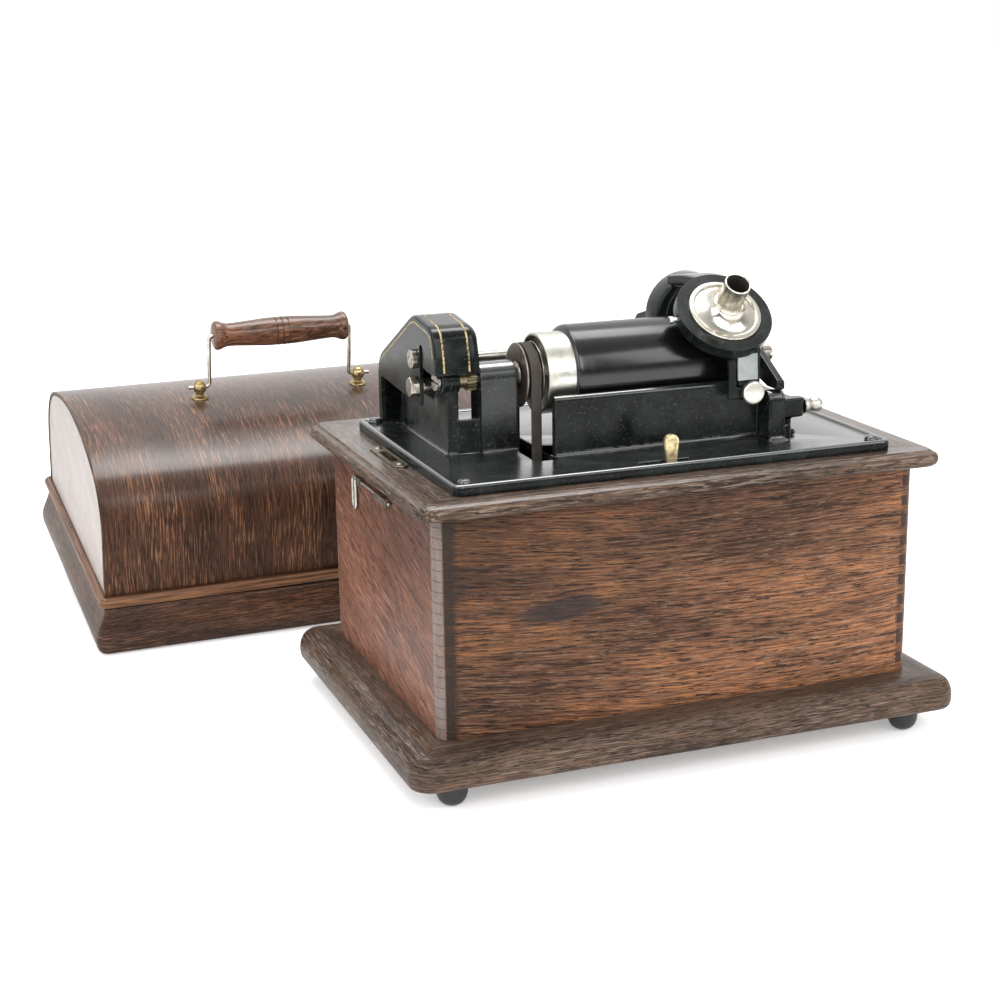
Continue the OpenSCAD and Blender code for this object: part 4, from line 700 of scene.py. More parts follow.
def japan(name, gloss, specks, edges, bump, coat, rough_pillar=False, coat_rough=0.15, coat_ior=1.5):
    """Black japanning, glossy on the faces that look up (coat gives the amount on the sides and on top);
    on the bed the mandrel pillar keeps its rough casting skin."""
    material, tree, shader = new_material(name)
    p = machine_mm(tree)
    inputs = {"Vector": p, "Specks": specks, "Edges": edges, "Gloss": gloss}
    colour, roughness, height = from_group(tree, JAPAN, inputs)
    cast = 0.0
    if rough_pillar:
        x, _, z = parts(p)
        pillar = band(x, -101.0, -74.0, 0.5) * band(z, 187.0, 300.0, 3.0)
        height = height * 0.35 + noise(p, 0.22) * pillar * 5.0
        cast = pillar * band(z, 212.0, 300.0, 25.0) * 0.16
    finish_shader(tree, shader, colour, roughness, height, bump, 0.0004, Coat_Roughness=coat_rough,
                  Coat_IOR=coat_ior, Specular_IOR_Level=0.12)
    sheen(tree, shader, *coat, least=cast)
    return material


def plain(name, colour, roughness, coat=0.0, grain=1.0, spread=0.3, bump=0.3, metallic=0.0):
    """A plain surface with a cloudy colour and a fine bump of grain counts per mm."""
    material, tree, shader = new_material(name)
    p = machine_mm(tree)
    low, high = (tuple(share * c for c in colour) for share in (1 - spread, 1 + spread))
    finish_shader(tree, shader, mix(noise(p, 0.1), low, high), roughness, noise(p, grain, 3.0), bump,
                  Coat_Weight=coat, Metallic=metallic)
    return material


japanned = japan("japanned", 0.1, 0.3, 0.2, 0.1, (0.03, 0.5))
bed_japan = japan("bed_japan", 0.12, 0.5, 0.4, 0.4, (0.02, 1.0), True, 0.2, 2.6)
hood_japan = japan("hood_japan", 0.06, 0.35, 0.4, 0.06, (0.05, 0.7), coat_rough=0.1)
# Pale grey on the tongue's face: a painted reflection of the light it catches.
japan_painted_reflection = plain("japan_painted_reflection", (0.27, 0.29, 0.29), 0.3, grain=0.6, spread=0.5, bump=0.2, metallic=0.2)
rubber = plain("rubber", (0.012, 0.012, 0.012), 0.5, grain=1.2)
leather = plain("leather", (0.034, 0.028, 0.024), 0.85, grain=2.0, spread=0.7, bump=0.8)
screw_black = plain("screw_black", (0.02, 0.02, 0.019), 0.25, coat=0.7, grain=0.8, bump=0.1)
mica = plain("mica", (0.5, 0.42, 0.26), 0.3)
# Near black for the neck's hollow: painted shade.
painted_shade_inside = plain("painted_shade_inside", (0.02, 0.014, 0.01), 0.7)


def record_material():
    """Black record: fine rings of groove along X, a gloss in soft bands, and a little dust."""
    material, tree, shader = new_material("record_black")
    p = machine_mm(tree)
    rings = noise(p, (2.4, 0.0, 0.0), 2.0)
    gloss = ramp(noise(p, (0.25, 0.01, 0.01), 3.0), (0.35, 0.2), (0.7, 0.24))
    dust = ramp(noise(p, 0.7, 3.0), (0.66, 0.0), (0.8, 0.25))
    colour = mix(dust, (0.003, 0.003, 0.0035), (0.05, 0.05, 0.05))
    finish_shader(tree, shader, colour, gloss, rings, 0.03, 0.0001, Coat_Weight=0.15, Coat_Roughness=0.12,
                  Specular_IOR_Level=0.5)
    return material


record_black = record_material()


def gold_material():
    """Worn gold paint: gold that gives way to the black under it in patches."""
    material, tree, shader = new_material("gold_line")
    left = ramp(noise(machine_mm(tree), 0.5, 4.0, 0.65), (0.36, 0.0), (0.56, 1.0))
    finish_shader(tree, shader, mix(left, (0.02, 0.018, 0.012), (0.44, 0.33, 0.15)), 0.5, Metallic=0.4)
    return material


gold_line = gold_material()

LOOKS = {}
for names, look in (
    ("case_front case_back", front_oak), ("case_left case_right", side_oak), ("top_moulding", frame_oak),
    ("base_moulding floor_panel", plain_oak), ("lid_moulding lid_shell", lid_run_oak), ("lid_ends", plain_oak),
    ("handle_grip", grip_wood), ("record", record_black), ("drive_belt", leather), ("diaphragm", mica),
    ("feet gaskets", rubber), ("gear_cover", hood_japan), ("bed_casting", bed_japan),
    ("speaker_arm reproducer_pan lift_lever end_gate gate_latch motor_frame", japanned), ("bed_screws", screw_black),
    ("slot_plate", aged_plate), ("cover_bolt idler_stud", aged_nickel), ("lid_latch", zinc_wire),
    ("mandrel", drum_nickel), ("lift_knob latch_knob", knob_nickel), ("clamp_pin reproducer_cap stylus", nickel),
    ("mandrel_shaft feed_gear back_rod carriage_sleeve floating_weight suspension_bolts winding_shaft spring_barrel "
     "mainspring lid_hooks", steel),
    ("feed_screw", thread_steel), ("mandrel_pulley drive_pulley latch_staples centre_screw", dark_steel),
    ("handle_bail", bright_wire), ("mandrel_gear", bronze), ("start_lever", pale_brass),
    ("idler_gear half_nut second_arbor third_arbor governor handle_posts", brass),
):
    for n in names.split():
        LOOKS[n] = look
for n, look in LOOKS.items():
    NODES[n].data.materials.clear()
    NODES[n].data.materials.append(look)

# Castings, boards and small fittings with their edges rounded
for name, node, width, slot in (
    ("front_board", "case_front", 0.13, "oak"), ("back_board", "case_back", 0.13, "oak"),
    ("left_board", "case_left", 0.13, "oak"), ("right_board", "case_right", 0.13, "oak"),
    ("top_frame", "top_moulding", 0.3, "oak"), ("cast_bed", "bed_casting", 0.7, "japanned_iron"),
    ("reproducer_arm", "speaker_arm", 0.9, "japanned_iron"),
    ("lift_arm", "lift_lever", 1.2, "japanned_iron"), ("gate_casting", "end_gate", 1.6, "japanned_iron"),
    ("latch_casting", "gate_latch", 1.6, "japanned_iron"), ("hook_plate", "slot_plate", 0.3, "nickel"),
    ("wire_staples", "latch_staples", 0.5, "nickel"), ("hood_bolt", "cover_bolt", 0.5, "nickel"),
    ("idler_nut", "idler_stud", 0.4, "nickel"), ("ring_clamp_pin", "clamp_pin", 0.3, "nickel"),
    ("gate_centre", "centre_screw", 0.3, "nickel"), ("main_shaft", "mandrel_shaft", 0.3, "steel"),
    ("main_pinion", "mandrel_gear", 0.15, "brass"), ("rear_rod", "back_rod", 0.3, "steel"),
    ("rear_sleeve", "carriage_sleeve", 0.4, "steel"), ("start_handle", "start_lever", 0.8, "brass"),
    ("winding_stub", "winding_shaft", 0.5, "steel"),
):
    softened(name, node, width, LOOKS[node], node in ("speaker_arm", "start_lever", "latch_staples"))

# Mouldings of the case and the lid

base_line = smooth_line([
    (0.0, 21.0), (4.0, 20.7), (8.0, 19.2), (11.2, 16.4), (13.1, 12.6), (13.85, 8.6), (13.8, 4.6), (13.0, 1.6),
    (11.4, 0.2), (8.0, 0.0)], 5)
base_shape = np.concatenate([[(HOLE, 21.0), (-6.0, 21.0)], base_line, [(-6.0, 0.0), (HOLE, 0.0), (HOLE, 21.0)]])
piece("base_frame", ring_surface(base_shape, 355.0, 262.0, 14.0, Z_BASE, (277.0, 184.0)), run_oak, "machine",
      ["base_moulding"], smooth=50.0)

lid_line = smooth_line([
    (3.0, 0.0), (5.5, 1.2), (7.15, 4.2), (7.8, 8.8), (7.55, 13.0), (6.4, 17.5), (4.7, 22.0), (3.0, 26.6), (1.9, 30.6),
    (1.5, 33.4)], 5)
lid_shape = np.concatenate([
    [(HOLE, 0.0), (-4.0, 0.0)], lid_line, [(0.3, 34.3), (0.6, 34.8)], arc(0.8, 38.9, 4.1, -80, 92, 16),
    [(-6.0, 43.0), (HOLE, 43.0), (HOLE, 0.0)]])
piece("lid_frame", ring_surface(lid_shape, 332.0, 236.0, 8.0, 0.0, (295.6, 199.6)), lid_run_oak, "lid",
      ["lid_moulding"], in_lid, 50.0)

# Lid: foot and top of its sides, half its width, radius of the shoulders, centre and radius of the crown

SIDE_FOOT, SIDE_TOP, LID_W, SHOULDER_R, CROWN_Z, CROWN_R = 43.0, 84.5, 107.8, 46.5, -67.223, 210.138


def lid_section(n=12):
    """Points and outward normals of the bent lid from front to back: a side, a shoulder arc of 68 degrees,
    the crown arc, the other shoulder and side. On each arc P = centre + r (cos t, sin t)."""
    side = np.linspace(SIDE_FOOT, SIDE_TOP, 8)[:-1]
    shoulder, crown = np.linspace(180, 112, n + 1), np.linspace(112, 68, 2 * n + 1)[1:-1]
    t = np.radians(np.concatenate([np.full(7, 180.0), shoulder, crown, 180 - shoulder[::-1], np.zeros(7)]))
    normal = np.stack([np.cos(t), np.sin(t)], 1)
    shoulder_line = np.array([SHOULDER_R - LID_W, SIDE_TOP]) + SHOULDER_R * normal[7:8 + n]
    half = np.concatenate([np.stack([np.full(7, -LID_W), side], 1), shoulder_line])
    top = np.array([0.0, CROWN_Z]) + CROWN_R * normal[8 + n:7 + 3 * n]
    return np.concatenate([half, top, half[::-1] * (-1, 1)]), normal


section, section_normal = lid_section()
section_run = np.concatenate([[0], np.cumsum(np.linalg.norm(np.diff(section, axis=0), axis=1))])


def lid_sheet(stations):
    """The section carried along X at stations (x, depth): P(s, k) = C(s) - depth_k N(s), with x_k."""
    stations = np.asarray(stations, float)
    yz = section[:, None] - stations[None, :, 1:] * section_normal[:, None]
    return np.concatenate([np.broadcast_to(stations[None, :, :1], (*yz.shape[:2], 1)), yz], 2)


def both_ways(half):
    """Stations for the left half and the same for the right half."""
    half = np.asarray(half, float)
    return np.concatenate([half, half[::-1] * (-1, 1)])


skin = lid_sheet(both_ways([(-158.4, 1.2), (-158.2, 0.5), (-157.5, 0.0), (-100, 0.0), (-40, 0.0)]))
lining = lid_sheet(both_ways([(-158.4, 3.0), (-147.9, 3.0), (-147.9, 5.0), (-100, 5.0), (-40, 5.0)]))
skin_uv = np.stack([np.broadcast_to(section_run[:, None], skin.shape[:2]) + 0.12 * skin[..., 0], skin[..., 0]], -1)
piece("bent_lid", shell(skin, lining, skin_uv), lid_oak, "lid", ["lid_shell"], in_lid, 40.0)


def end_panel(x, thick):
    """A flat end under the bent lid: P(s, m) = (x, m |y(s)|, z(s)) for m from -1 to 1."""
    half = (section - 3.2 * section_normal)[:len(section) // 2 + 1]
    m = np.linspace(-1, 1, 9)[None, :]
    y = np.abs(half[:, :1]) * m
    y[-1] = 0.0
    z = np.broadcast_to(half[:, 1:], y.shape)
    sheet = np.stack([np.full(y.shape, x), y, z], -1)
    uv = np.stack([z * 0.5 + y, z - 0.5 * y], -1)
    return shell(sheet, sheet + (thick, 0.0, 0.0), uv)


piece("lid_end_boards", join(end_panel(-157.7, 9.6), end_panel(157.7, -9.6)), lid_end_painted_glare, "lid", ["lid_ends"],
      in_lid, 30.0)

# Handle: turned posts, wire bail and turned grip

POST_Z, GRIP_Z = 151.5155, 191.0
post_line = np.concatenate([
    [(0.0, 142.2), (6.4, 142.4)],
    smooth_line([(6.5, 142.9), (6.3, 143.9), (4.6, 144.5), (3.1, 145.4), (3.0, 146.4)], 4),
    arc(0, POST_Z, 5.2, -54, 90, 18)])
post = lathe(post_line, 32)
piece("handle_studs", join(moved(post, (-62.0, 0, 0)), moved(post, (62.0, 0, 0))), brass, "lid", ["handle_posts"],
      in_lid, 40.0)
bail_half = np.concatenate([
    [(-70.4, POST_Z)], [(-60.0, POST_Z)], arc(-57.6, POST_Z + 3.0, 3.0, -90, 0, 8),
    arc(-51.6, GRIP_Z - 3.0, 3.0, 180, 90, 8), [(-40.0, GRIP_Z)]])
bail_line = np.concatenate([bail_half, bail_half[::-1] * (-1, 1)])
bail_path = np.stack([bail_line[:, 0], np.zeros(len(bail_line)), bail_line[:, 1]], 1)
piece("handle_wire", tube(bail_path, 1.5, (0, 1, 0)), bright_wire, "handle", ["handle_bail"], in_lid, 40.0)

grip_half = np.concatenate([
    [(2.0, -51.6)],
    smooth_line([(8.6, -51.4), (10.3, -50.4), (10.8, -48.6), (10.4, -46.4), (9.2, -43.6), (8.6, -40.0), (8.8, -34),
                 (9.6, -22), (10.3, -12), (10.5, -6.0)], 5),
    [(10.5, -5.2), (9.8, -4.9), (9.8, -4.3), (10.5, -4.0), (10.6, -0.6), (9.8, -0.3)]])
grip_line = np.concatenate([grip_half, grip_half[::-1] * (1, -1), [(2.0, -51.6)]])
piece("turned_grip", along_x(lathe(grip_line, 48), 0.0, GRIP_Z), grip_wood, "handle", ["handle_grip"], in_lid, 50.0)

# Gear hood

# Its edge from the front to the back as (y, z over the bed), and the cut of its left wall as (run, y, z)
HOOD_EDGE = np.array([
    (-37, 50), (-36, 60), (-32, 73.5), (-26, 77.2), (2, 80.6), (9, 79), (70, 48), (77, 43), (80.5, 35),
    (80.5, 0.3)], float)
HOOD_CUT = np.array([
    (0, -20, 50), (14, -14.1, 51.5), (27, -14.1, 61), (34, -13, 63.6), (42, -10.5, 64.6), (50, -8, 63.6),
    (57, -6.9, 61), (63, -6.9, 48), (70, -7, 27), (75, -5, 27), (100, 26, 28.5), (133, 64, 31), (142, 73, 31),
    (150, 73, 27), (186, 73, 0.3)], float)


def hood_line(n=150, soft=4):
    """The hood's edge at even steps along it, with its corners eased by a running mean, and its normals."""
    run = np.concatenate([[0], np.cumsum(np.linalg.norm(np.diff(HOOD_EDGE, axis=0), axis=1))])
    t = np.linspace(0, run[-1], n)
    line = np.stack([np.interp(t, run, HOOD_EDGE[:, k]) for k in range(2)], 1)
    wide = np.concatenate([2 * line[0] - line[soft:0:-1], line, 2 * line[-1] - line[-2:-2 - soft:-1]])
    total = np.cumsum(np.concatenate([[[0.0, 0.0]], wide]), 0)
    line = (total[2 * soft - 1:] - total[:-2 * soft + 1])[1:n + 1] / (2 * soft - 1)
    tangent = np.gradient(line, axis=0)
    tangent /= np.linalg.norm(tangent, axis=1)[:, None]
    return t, line, np.stack([-tangent[:, 1], tangent[:, 0]], 1)


hood_run, hood_edge, hood_normal = hood_line()


def hood_sheet(stations, cut_x):
    """The hood's edge carried along X at stations (x, inset), with the cut of its left wall as first column."""
    stations = np.asarray(stations, float)
    yz = hood_edge[:, None] - stations[None, :, 1:] * hood_normal[:, None]
    wall = np.stack([np.interp(hood_run, HOOD_CUT[:, 0], HOOD_CUT[:, k]) for k in (1, 2)], 1)
    yz = np.concatenate([wall[:, None], yz], 1)
    x = np.concatenate([[cut_x], stations[:, 0]])
    return np.concatenate([np.broadcast_to(x[None, :, None], (*yz.shape[:2], 1)), yz + (0.0, Z_BED)], 2)


HOOD_LEFT, HOOD_LEFT_IN = -128.0, -125.7
left_round = arc(HOOD_LEFT + 2.0, -2.0, 2.0, 180, 90, 5) * (1, -1)
right_round = arc(-105.2, -6.4, 6.4, 90, 4, 9) * (1, -1)
right_under = arc(-105.2, -6.4, 4.2, 90, 4, 9) * (1, -1)
left_under = np.tile([(HOOD_LEFT_IN, 2.3)], (6, 1))
out_line = np.concatenate([[(HOOD_LEFT, 2.6)], left_round, [(-118.0, 0.0), (-110.0, 0.0)], right_round])
in_line = np.concatenate([[(HOOD_LEFT_IN, 2.6)], left_under, [(-118.0, 2.2), (-110.0, 2.2)], right_under])
hood_out, hood_in = hood_sheet(out_line, HOOD_LEFT), hood_sheet(in_line, HOOD_LEFT_IN)
piece("gear_hood", shell(hood_out, hood_in), hood_japan, "machine", ["gear_cover"], smooth=40.0)


def hood_stripe(first, last, x, inset, half, lift):
    """A thin line along the hood's edge. With a half width it lies on the rounded top, that wide on either side of
    x; with none it lies on the left wall at x, 0.45 on either side of the inset."""
    rows = slice(first, last)
    lower, upper = [], []
    for a, b in ((x - half, inset), (x + half, inset)) if half else ((x, inset - 0.45), (x, inset + 0.45)):
        line = hood_edge[rows] - b * hood_normal[rows]
        up = hood_normal[rows] * lift if half else 0.0
        lower.append(np.column_stack([np.full(len(line), a), line]))
        upper.append(np.column_stack([np.full(len(line), a - (0.0 if half else lift)), line + up]))
    z = (0.0, 0.0, Z_BED)
    return shell(np.stack(lower, 1) + z, np.stack(upper, 1) + z)


stripes = (hood_stripe(1, 62, -122.6, 0.0, 0.55, 0.07), hood_stripe(1, 62, -107.0, 0.1, 0.55, 0.16),
           hood_stripe(8, 112, HOOD_LEFT, 4.2, 0.0, 0.07))
piece("hood_lines", join(*stripes), gold_line, "machine", smooth=60.0)

# Mandrel line


def turned(name, line, node, material, body, steps=96, ripple=None):
    """A profile (r, x) turned about the mandrel's axis."""
    return piece(name, along_x(lathe(line, steps, ripple), *AXIS), material, body, [node], smooth=40.0)


turned("mandrel_drum", [
    (3.0, -55), (22.6, -55), (22.6, -60.7), (23.0, -61), (24.0, -61), (24.4, -60.8), (24.6, -60.3), (22.2, 67.6),
    (21.9, 68.8), (21.0, 69.7), (20.2, 70.0), (3.0, 70.0), (3.0, -55)], "mandrel", drum_nickel, "mandrel")
turned("wax_record", [
    (24.4, -43.5), (26.0, -43.5), (26.9, -43.1), (27.5, -42.2), (27.85, -41.2), (28.0, -40.2), (28.0, 0.0),
    (28.0, 64.2), (27.85, 65.2), (27.5, 66.2), (26.9, 67.1), (26.0, 67.5), (22.35, 67.5), (24.4, -43.5)],
    "record", record_black, "mandrel", 128)
turned("belt_pulley", [
    (3.0, -74.7), (6.8, -74.7), (7.6, -73.6), (8.2, -72.9), (17.6, -72.7), (18.9, -72.7), (19.4, -72.3), (19.5, -72.0),
    (19.3, -71.6), (17.2, -71.2), (16.9, -70.8), (16.9, -63.3), (17.2, -62.9), (19.3, -62.6), (19.5, -62.2),
    (19.4, -61.8), (18.9, -61.5), (3.0, -61.5), (3.0, -74.7)], "mandrel_pulley", dark_steel, "mandrel")

# Belt: a strap with rounded edges on its loop
THIRD_Z, BELT_R, BELT_X = 108.18, 18.25, -67.1
belt_arc = np.concatenate([arc(AXIS[0], AXIS[1], 1.0, 0, 180, 40), arc(AXIS[0], THIRD_Z, 1.0, 180, 360, 40)])
belt_centre = np.concatenate([np.tile([AXIS], (41, 1)), np.tile([(AXIS[0], THIRD_Z)], (41, 1))])
belt_side = belt_arc - belt_centre
strap = rounded_box(3.1, 1.05, 0.5, 3)


def strap_loop(centre, side):
    """A strap section (x, out) on the loop: P(s, k) = C(s) + (R + out_k) N(s), with x_k."""
    yz = centre[:, None] + (BELT_R + strap[None, :, 1:]) * side[:, None]
    x = np.broadcast_to(BELT_X + strap[None, :, :1], (*yz.shape[:2], 1))
    points = np.concatenate([x, yz], 2)
    return points, grid_faces(*points.shape[:2], wrap_rows=True, wrap_cols=True)


piece("leather_belt", strap_loop(belt_centre, belt_side), leather, "machine", ["drive_belt"], smooth=50.0)

# Reproducer: nickel cap with a beaded rim, a dished face and the open neck
cap_line = np.concatenate([
    [(7.0, 46.0), (17.0, 43.1), (19.4, 43.1), (19.4, 44.0), (22.4, 44.0), (22.6, 44.3), (22.6, 45.4), (22.3, 45.8),
     (19.9, 46.2), (19.5, 46.1), (19.3, 45.3)],
    smooth_line([(19.1, 45.1), (18.4, 45.2), (16.0, 45.9), (13.4, 47.3), (11.2, 49.1), (9.9, 50.7), (9.5, 51.5)], 4),
    arc(8.6, 52.1, 0.9, -30, 120, 5), [(7.95, 53.1), (7.9, 54.5), (7.9, 68.8)], arc(7.45, 69.4, 0.55, -10, 190, 6),
    [(6.95, 68.6), (7.0, 46.0)]])
piece("sound_cap", lathe(cap_line, 96), nickel, "arm", ["reproducer_cap"], in_arm, 40.0)
# A thin dark tube inside the neck: painted shade in its hollow.
throat = lathe([(6.92, 47.5), (6.92, 68.0), (6.7, 68.0), (6.7, 47.5), (6.92, 47.5)], 48)
piece("neck_painted_shade", throat, painted_shade_inside, "arm", place=in_arm, smooth=40.0)

# Arm: a rounded arch over the carriage with its closed back, the link to the ring, and the face of the tongue, pale
# with a painted reflection


def swept(rows):
    """Closed sections in a row, with both ends drawn in to their middles."""
    rows = np.concatenate([np.broadcast_to(rows[:1].mean(1, keepdims=True), rows[:1].shape), rows,
                           np.broadcast_to(rows[-1:].mean(1, keepdims=True), rows[:1].shape)])
    return rows, grid_faces(*rows.shape[:2], wrap_cols=True)


ARCH_X, ARCH_Z, ARCH_R = 61.0, Z_BED + 66.0, 22.6


def arch():
    """P(a, k) = C + (R + u_k) (cos a, sin a) in XZ, with y = 17 + v_k, for a from -4 to 184 degrees."""
    u, v = rounded_box(3.8, 9.9, 2.3).T
    a = np.radians(np.linspace(-4, 184, 60))[:, None]
    x, z = ARCH_X + (ARCH_R + u) * np.cos(a), ARCH_Z + (ARCH_R + u) * np.sin(a)
    return swept(np.stack([x, np.broadcast_to(17.0 + v, x.shape), z], -1))


def arm_back():
    """The closed back inside the arch: P(r, a) = C + r (cos a, sin a) in XZ, at two depths."""
    r, a = np.linspace(0.5, 20.0, 6)[:, None], np.radians(np.linspace(-4, 184, 40))[None, :]
    x, z = ARCH_X + r * np.cos(a), ARCH_Z + r * np.sin(a)
    return shell(np.stack([x, np.full(x.shape, 15.0), z], -1), np.stack([x, np.full(x.shape, 20.0), z], -1))


def arm_link():
    """A rounded bar from the arch to the ring: its middle and its half height follow two curves of y."""
    y = np.linspace(13.0, -30.0, 24)[:, None]
    t = (13.0 - y) / 43.0
    u, v = rounded_box(1.0, 1.0, 0.35).T
    x = np.broadcast_to(55.0 + 11.0 * u, (24, len(u)))
    z = Z_BED + 88.0 + 3.6 * t + 1.2 * np.sin(np.pi * t) + (3.9 - 0.4 * t) * v
    return swept(np.stack([x, np.broadcast_to(y, x.shape), z], -1))


def tongue():
    """The front of the arm's tongue, a plate with rounded edges that leans out downwards."""
    z = np.linspace(38.4, 54.0, 12)[:, None]
    u, v = rounded_box(6.6, 0.9, 0.7).T
    x = np.broadcast_to(58.3 + u, (12, len(u)))
    return swept(np.stack([x, -68.1 - 0.07 * (54.0 - z) + v, np.broadcast_to(Z_BED + z, x.shape)], -1))


piece("arm_arch", join(arch(), arm_back(), arm_link()), japanned, "arm", smooth=40.0)
piece("tongue_face", tongue(), japan_painted_reflection, "arm", smooth=40.0)


def fillet(start, end, out, r=3.0):
    """A hollow quarter round at the foot of a wall from start to end: a section of centre (r, r) from the
    wall, P(s, a) = start + s (end - start) + out (r - r cos a) + z (r - r sin a)."""
    a = np.radians(np.linspace(0, 90, 9))
    o, z = np.append(r - r * np.cos(a), -0.3), np.append(r - r * np.sin(a), -0.3)
    line = np.linspace(start, end, 12)[:, None]
    xy = line + o[None, :, None] * np.asarray(out, float)
    return swept(np.concatenate([xy, np.broadcast_to(Z_BED + z[None, :, None], (*xy.shape[:2], 1))], 2))


fillets = (
    fillet((-62.0, -58.6), (70.6, -58.6), (0, -1)), fillet((-98.3, -32.5), (-75.6, -32.5), (0, -1), 2.4),
    fillet((-118.2, -28.8), (-111.6, -28.8), (0, -1), 2.0), fillet((-118.4, -28.6), (-118.4, 62.0), (-1, 0), 2.4),
)
piece("casting_fillets", join(*fillets), bed_japan, "machine", smooth=40.0)


def gate_column():
    """The gate post's rounded body: a rounded section that spreads over its foot, with a domed top."""
    z = np.concatenate([np.linspace(0.0, 24.0, 18), 24.0 + 6.6 * np.sin(np.radians(np.linspace(8, 90, 12)))])[:, None]
    spread = np.maximum(1.0 - z / 4.0, 0.0) ** 2 * 2.6
    round_off = np.sqrt(np.clip(1.0 - (np.maximum(z - 24.0, 0.0) / 6.65) ** 2, 0.0, 1.0))
    u, v = rounded_box(1.0, 1.0, 0.5).T
    x = 76.4 + (5.7 + spread * (u > 0)) * u
    y = -67.5 + (6.8 * round_off + spread) * v
    return swept(np.stack([x, y, np.broadcast_to(Z_BED + z, x.shape)], -1))


piece("gate_column", gate_column(), bed_japan, "machine", smooth=40.0)

# Knobs
knob_line = [
    (0.0, -72.9), (6.0, -72.9), (6.7, -72.6), (7.0, -72.2), (7.15, -71.6), (7.15, -69.2), (6.9, -68.5), (6.2, -68.1),
    (1.95, -68.0), (1.95, -62.1), (0.0, -62.1)]
knob = lathe(knob_line, 120, lambda t, s: 0.012 * np.sign(np.sin(30 * t)) * (s < -69.0) * (s > -72.0))
piece("lift_head", along_y(knob, 61.2, Z_BED + 30.5), knob_nickel, "lever", ["lift_knob"], smooth=40.0)
ball_line = np.concatenate([
    [(0.0, 101.5), (4.6, 101.5), (5.0, 101.9), (5.0, 103.9), (4.6, 104.5)],
    smooth_line([(3.6, 104.9), (3.1, 105.7), (3.0, 106.4)], 3), arc(110.1, 0.0, 5.0, 140, 0, 20)[:, ::-1]])
piece("latch_ball", along_x(lathe(ball_line, 40), -60.0, Z_BED + 17.0), knob_nickel, "gate_latch", ["latch_knob"],
      smooth=40.0)

# Start handle: a flattened pear over the head of the lever
handle_line = smooth_line([
    (0.0, 15.4), (2.6, 14.8), (4.3, 12.6), (4.6, 10.0), (4.3, 7.0), (3.7, 3.5), (3.1, 0.6), (0.0, 0.5)], 5)
pear = lathe(handle_line, 40, lambda t, s: 0.012 * np.sin(14 * t + s * 1.4) * np.sin(14 * t - s * 1.4))
pear = (pear[0] * (1.0, 0.46, 1.0) + (START_X, START_Y, Z_BED), pear[1])
piece("start_grip", pear, pale_brass, "start", smooth=60.0)

# Domed screws of the bed plate
dome_line = np.concatenate([
    [(0.0, Z_DECK - 8.0), (1.8, Z_DECK - 8.0), (1.8, Z_BED), (4.2, Z_BED), (4.2, Z_BED + 0.5)],
    smooth_line([(4.1, Z_BED + 1.4), (3.4, Z_BED + 2.5), (1.9, Z_BED + 3.2), (0.0, Z_BED + 3.4)], 4)])
dome = lathe(dome_line, 32)
piece("bed_plate_screws", join(*(moved(dome, (x, y, 0.0)) for x in SCREW_X for y in SCREW_Y)), screw_black, "machine",
      ["bed_screws"], smooth=40.0)

# Feet, and the wire latch with its thumb loop
foot_line = np.concatenate([
    [(0.0, 0.0), (1.6, 0.0)],
    smooth_line([(3.4, 0.5), (5.6, 1.6), (7.5, 3.5), (8.7, 6.0), (9.3, 9.0), (9.3, 15.2)], 4),
    [(8.6, Z_BASE), (0.0, Z_BASE)]])
foot = lathe(foot_line, 32)
piece("round_feet", join(*(moved(foot, (x, y, 0)) for x in (-149.0, 149.0) for y in (-111.0, 111.0))), rubber,
      "machine", ["feet"], smooth=40.0)
wire_line = np.concatenate([
    [(-25.0, 157.0), (20.0, 157.0)], arc(43.4, 154.4, 2.6, 90, 0, 6), arc(49.0, 140.0, 3.0, 180, 360, 12),
    arc(48.6, 153.6, 3.4, 0, 90, 8), [(45.0, 157.0)]])
wire_path = np.column_stack([np.full(len(wire_line), -154.9), wire_line])
piece("thumb_latch", tube(wire_path, 1.1, (1, 0, 0)), zinc_wire, "latch_wire", ["lid_latch"], smooth=50.0)

# Floor, light and camera


def floor():
    """A plain pale sheet under everything."""
    material, tree, shader = new_material("floor_pale")
    finish_shader(tree, shader, (0.94, 0.94, 0.94), 0.7, Emission_Color=(1, 1, 1), Emission_Strength=0.28)
    mesh = bpy.data.meshes.new("floor")
    half, under = 12.0, -0.0002
    corners = [(half * x, half * y, under) for x, y in ((-1, -1), (1, -1), (1, 1), (-1, 1))]
    mesh.from_pydata(corners, [], [[0, 1, 2, 3]])
    mesh.materials.append(material)
    obj = bpy.data.objects.new("floor", mesh)
    scene.collection.objects.link(obj)


floor()


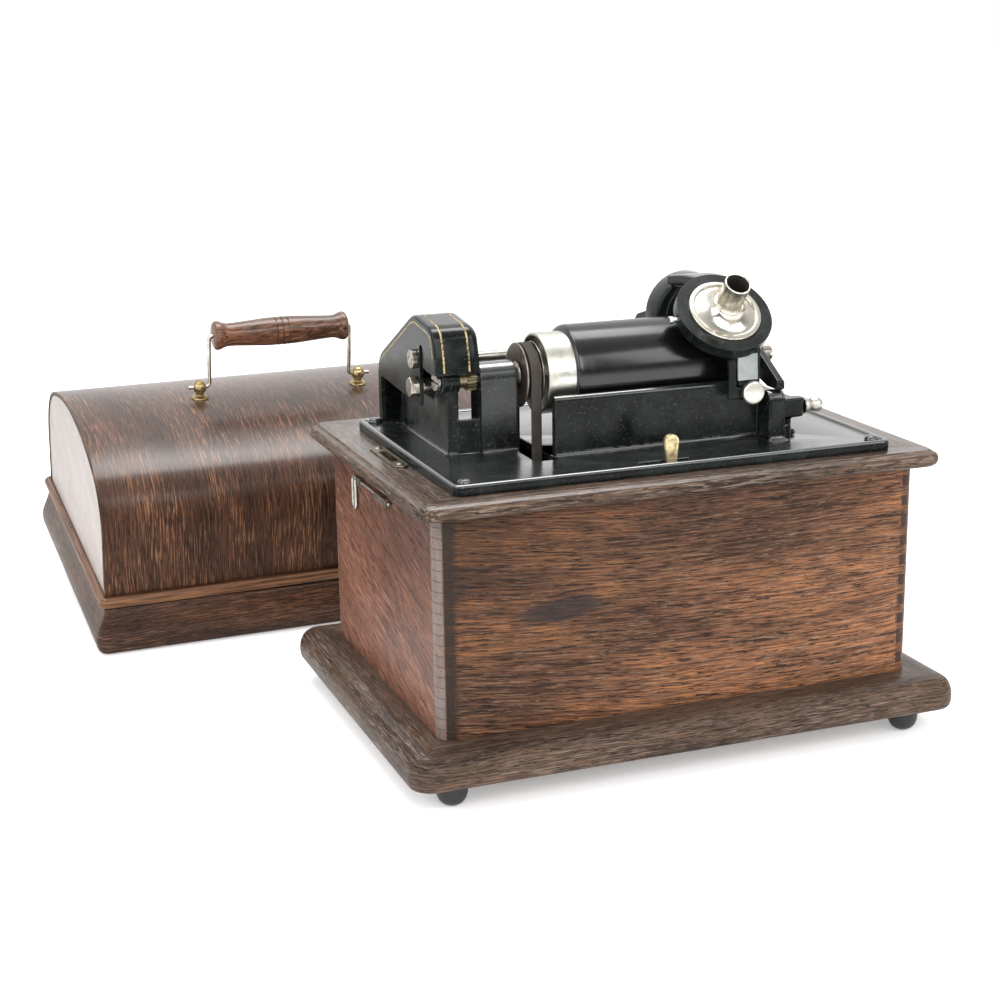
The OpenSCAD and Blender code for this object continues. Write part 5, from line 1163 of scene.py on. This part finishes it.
def facing(place, back, roll=0.0):
    """The matrix of something at a place that looks against the vector back, upright but for a roll about it."""
    back = np.asarray(back, float) / np.linalg.norm(back)
    right = np.cross((0.0, 0.0, 1.0), back)
    right /= np.linalg.norm(right)
    up = np.cross(back, right)
    right, up = right * math.cos(roll) + up * math.sin(roll), up * math.cos(roll) - right * math.sin(roll)
    return Matrix([[right[k], up[k], back[k], place[k]] for k in range(3)] + [[0, 0, 0, 1]])


def area_light(name, place, target, size, power):
    """A soft rectangular lamp at a place, facing a target."""
    data = bpy.data.lights.new(name, "AREA")
    data.shape = "RECTANGLE"
    data.size, data.size_y = size
    data.energy = power
    obj = bpy.data.objects.new(name, data)
    scene.collection.objects.link(obj)
    obj.matrix_world = facing(place, np.subtract(place, target))


area_light("overhead", (0.0, 0.25, 2.0), (0.0, 0.1, 0.1), (2.0, 0.9), 34.0)
area_light("left_fill", (-1.9, -0.7, 1.1), (0.0, 0.0, 0.12), (1.4, 1.4), 22.0)
area_light("right_front", (1.3, -1.7, 1.2), (0.05, -0.15, 0.12), (1.2, 1.2), 18.0)
area_light("front", (-0.35, -2.0, 1.2), (0.0, 0.0, 0.15), (1.8, 1.1), 32.0)


def studio():
    """A white studio: bright behind and above, dimmer in front, and plain white behind the object."""
    world = bpy.data.worlds.new("studio")
    scene.world = world
    world.use_nodes = True
    tree = world.node_tree
    _, y, z = parts(made(tree, "ShaderNodeTexCoord", output="Generated"))
    soft = ranged(y + abs(z) * 0.6, -0.5, 0.75, 0.12, 1.15)
    seen = made(tree, "ShaderNodeLightPath", output="Is Camera Ray")
    strength = made(tree, "ShaderNodeMix", {0: seen, 2: soft, 3: 1.0}, data_type="FLOAT")
    background = tree.nodes["Background"]
    feed(tree, (1.0, 1.0, 1.0), background.inputs[0])
    feed(tree, strength, background.inputs[1])


studio()
scene.view_settings.view_transform = "Standard"

# The camera was fitted to the case's edges, the floor line and the record
AZIMUTH, ELEVATION, ROLL = math.radians(-20.37), math.radians(14.91), math.radians(-0.91)
level = math.cos(ELEVATION)
back = (math.sin(AZIMUTH) * level, -math.cos(AZIMUTH) * level, math.sin(ELEVATION))
lens = bpy.data.cameras.new("camera")
lens.sensor_width = 36.0
lens.lens = 67.04
camera = bpy.data.objects.new("camera", lens)
scene.collection.objects.link(camera)
camera.matrix_world = facing(in_machine((-463.8, -1045.3, 442.0)), back, ROLL)
scene.camera = camera
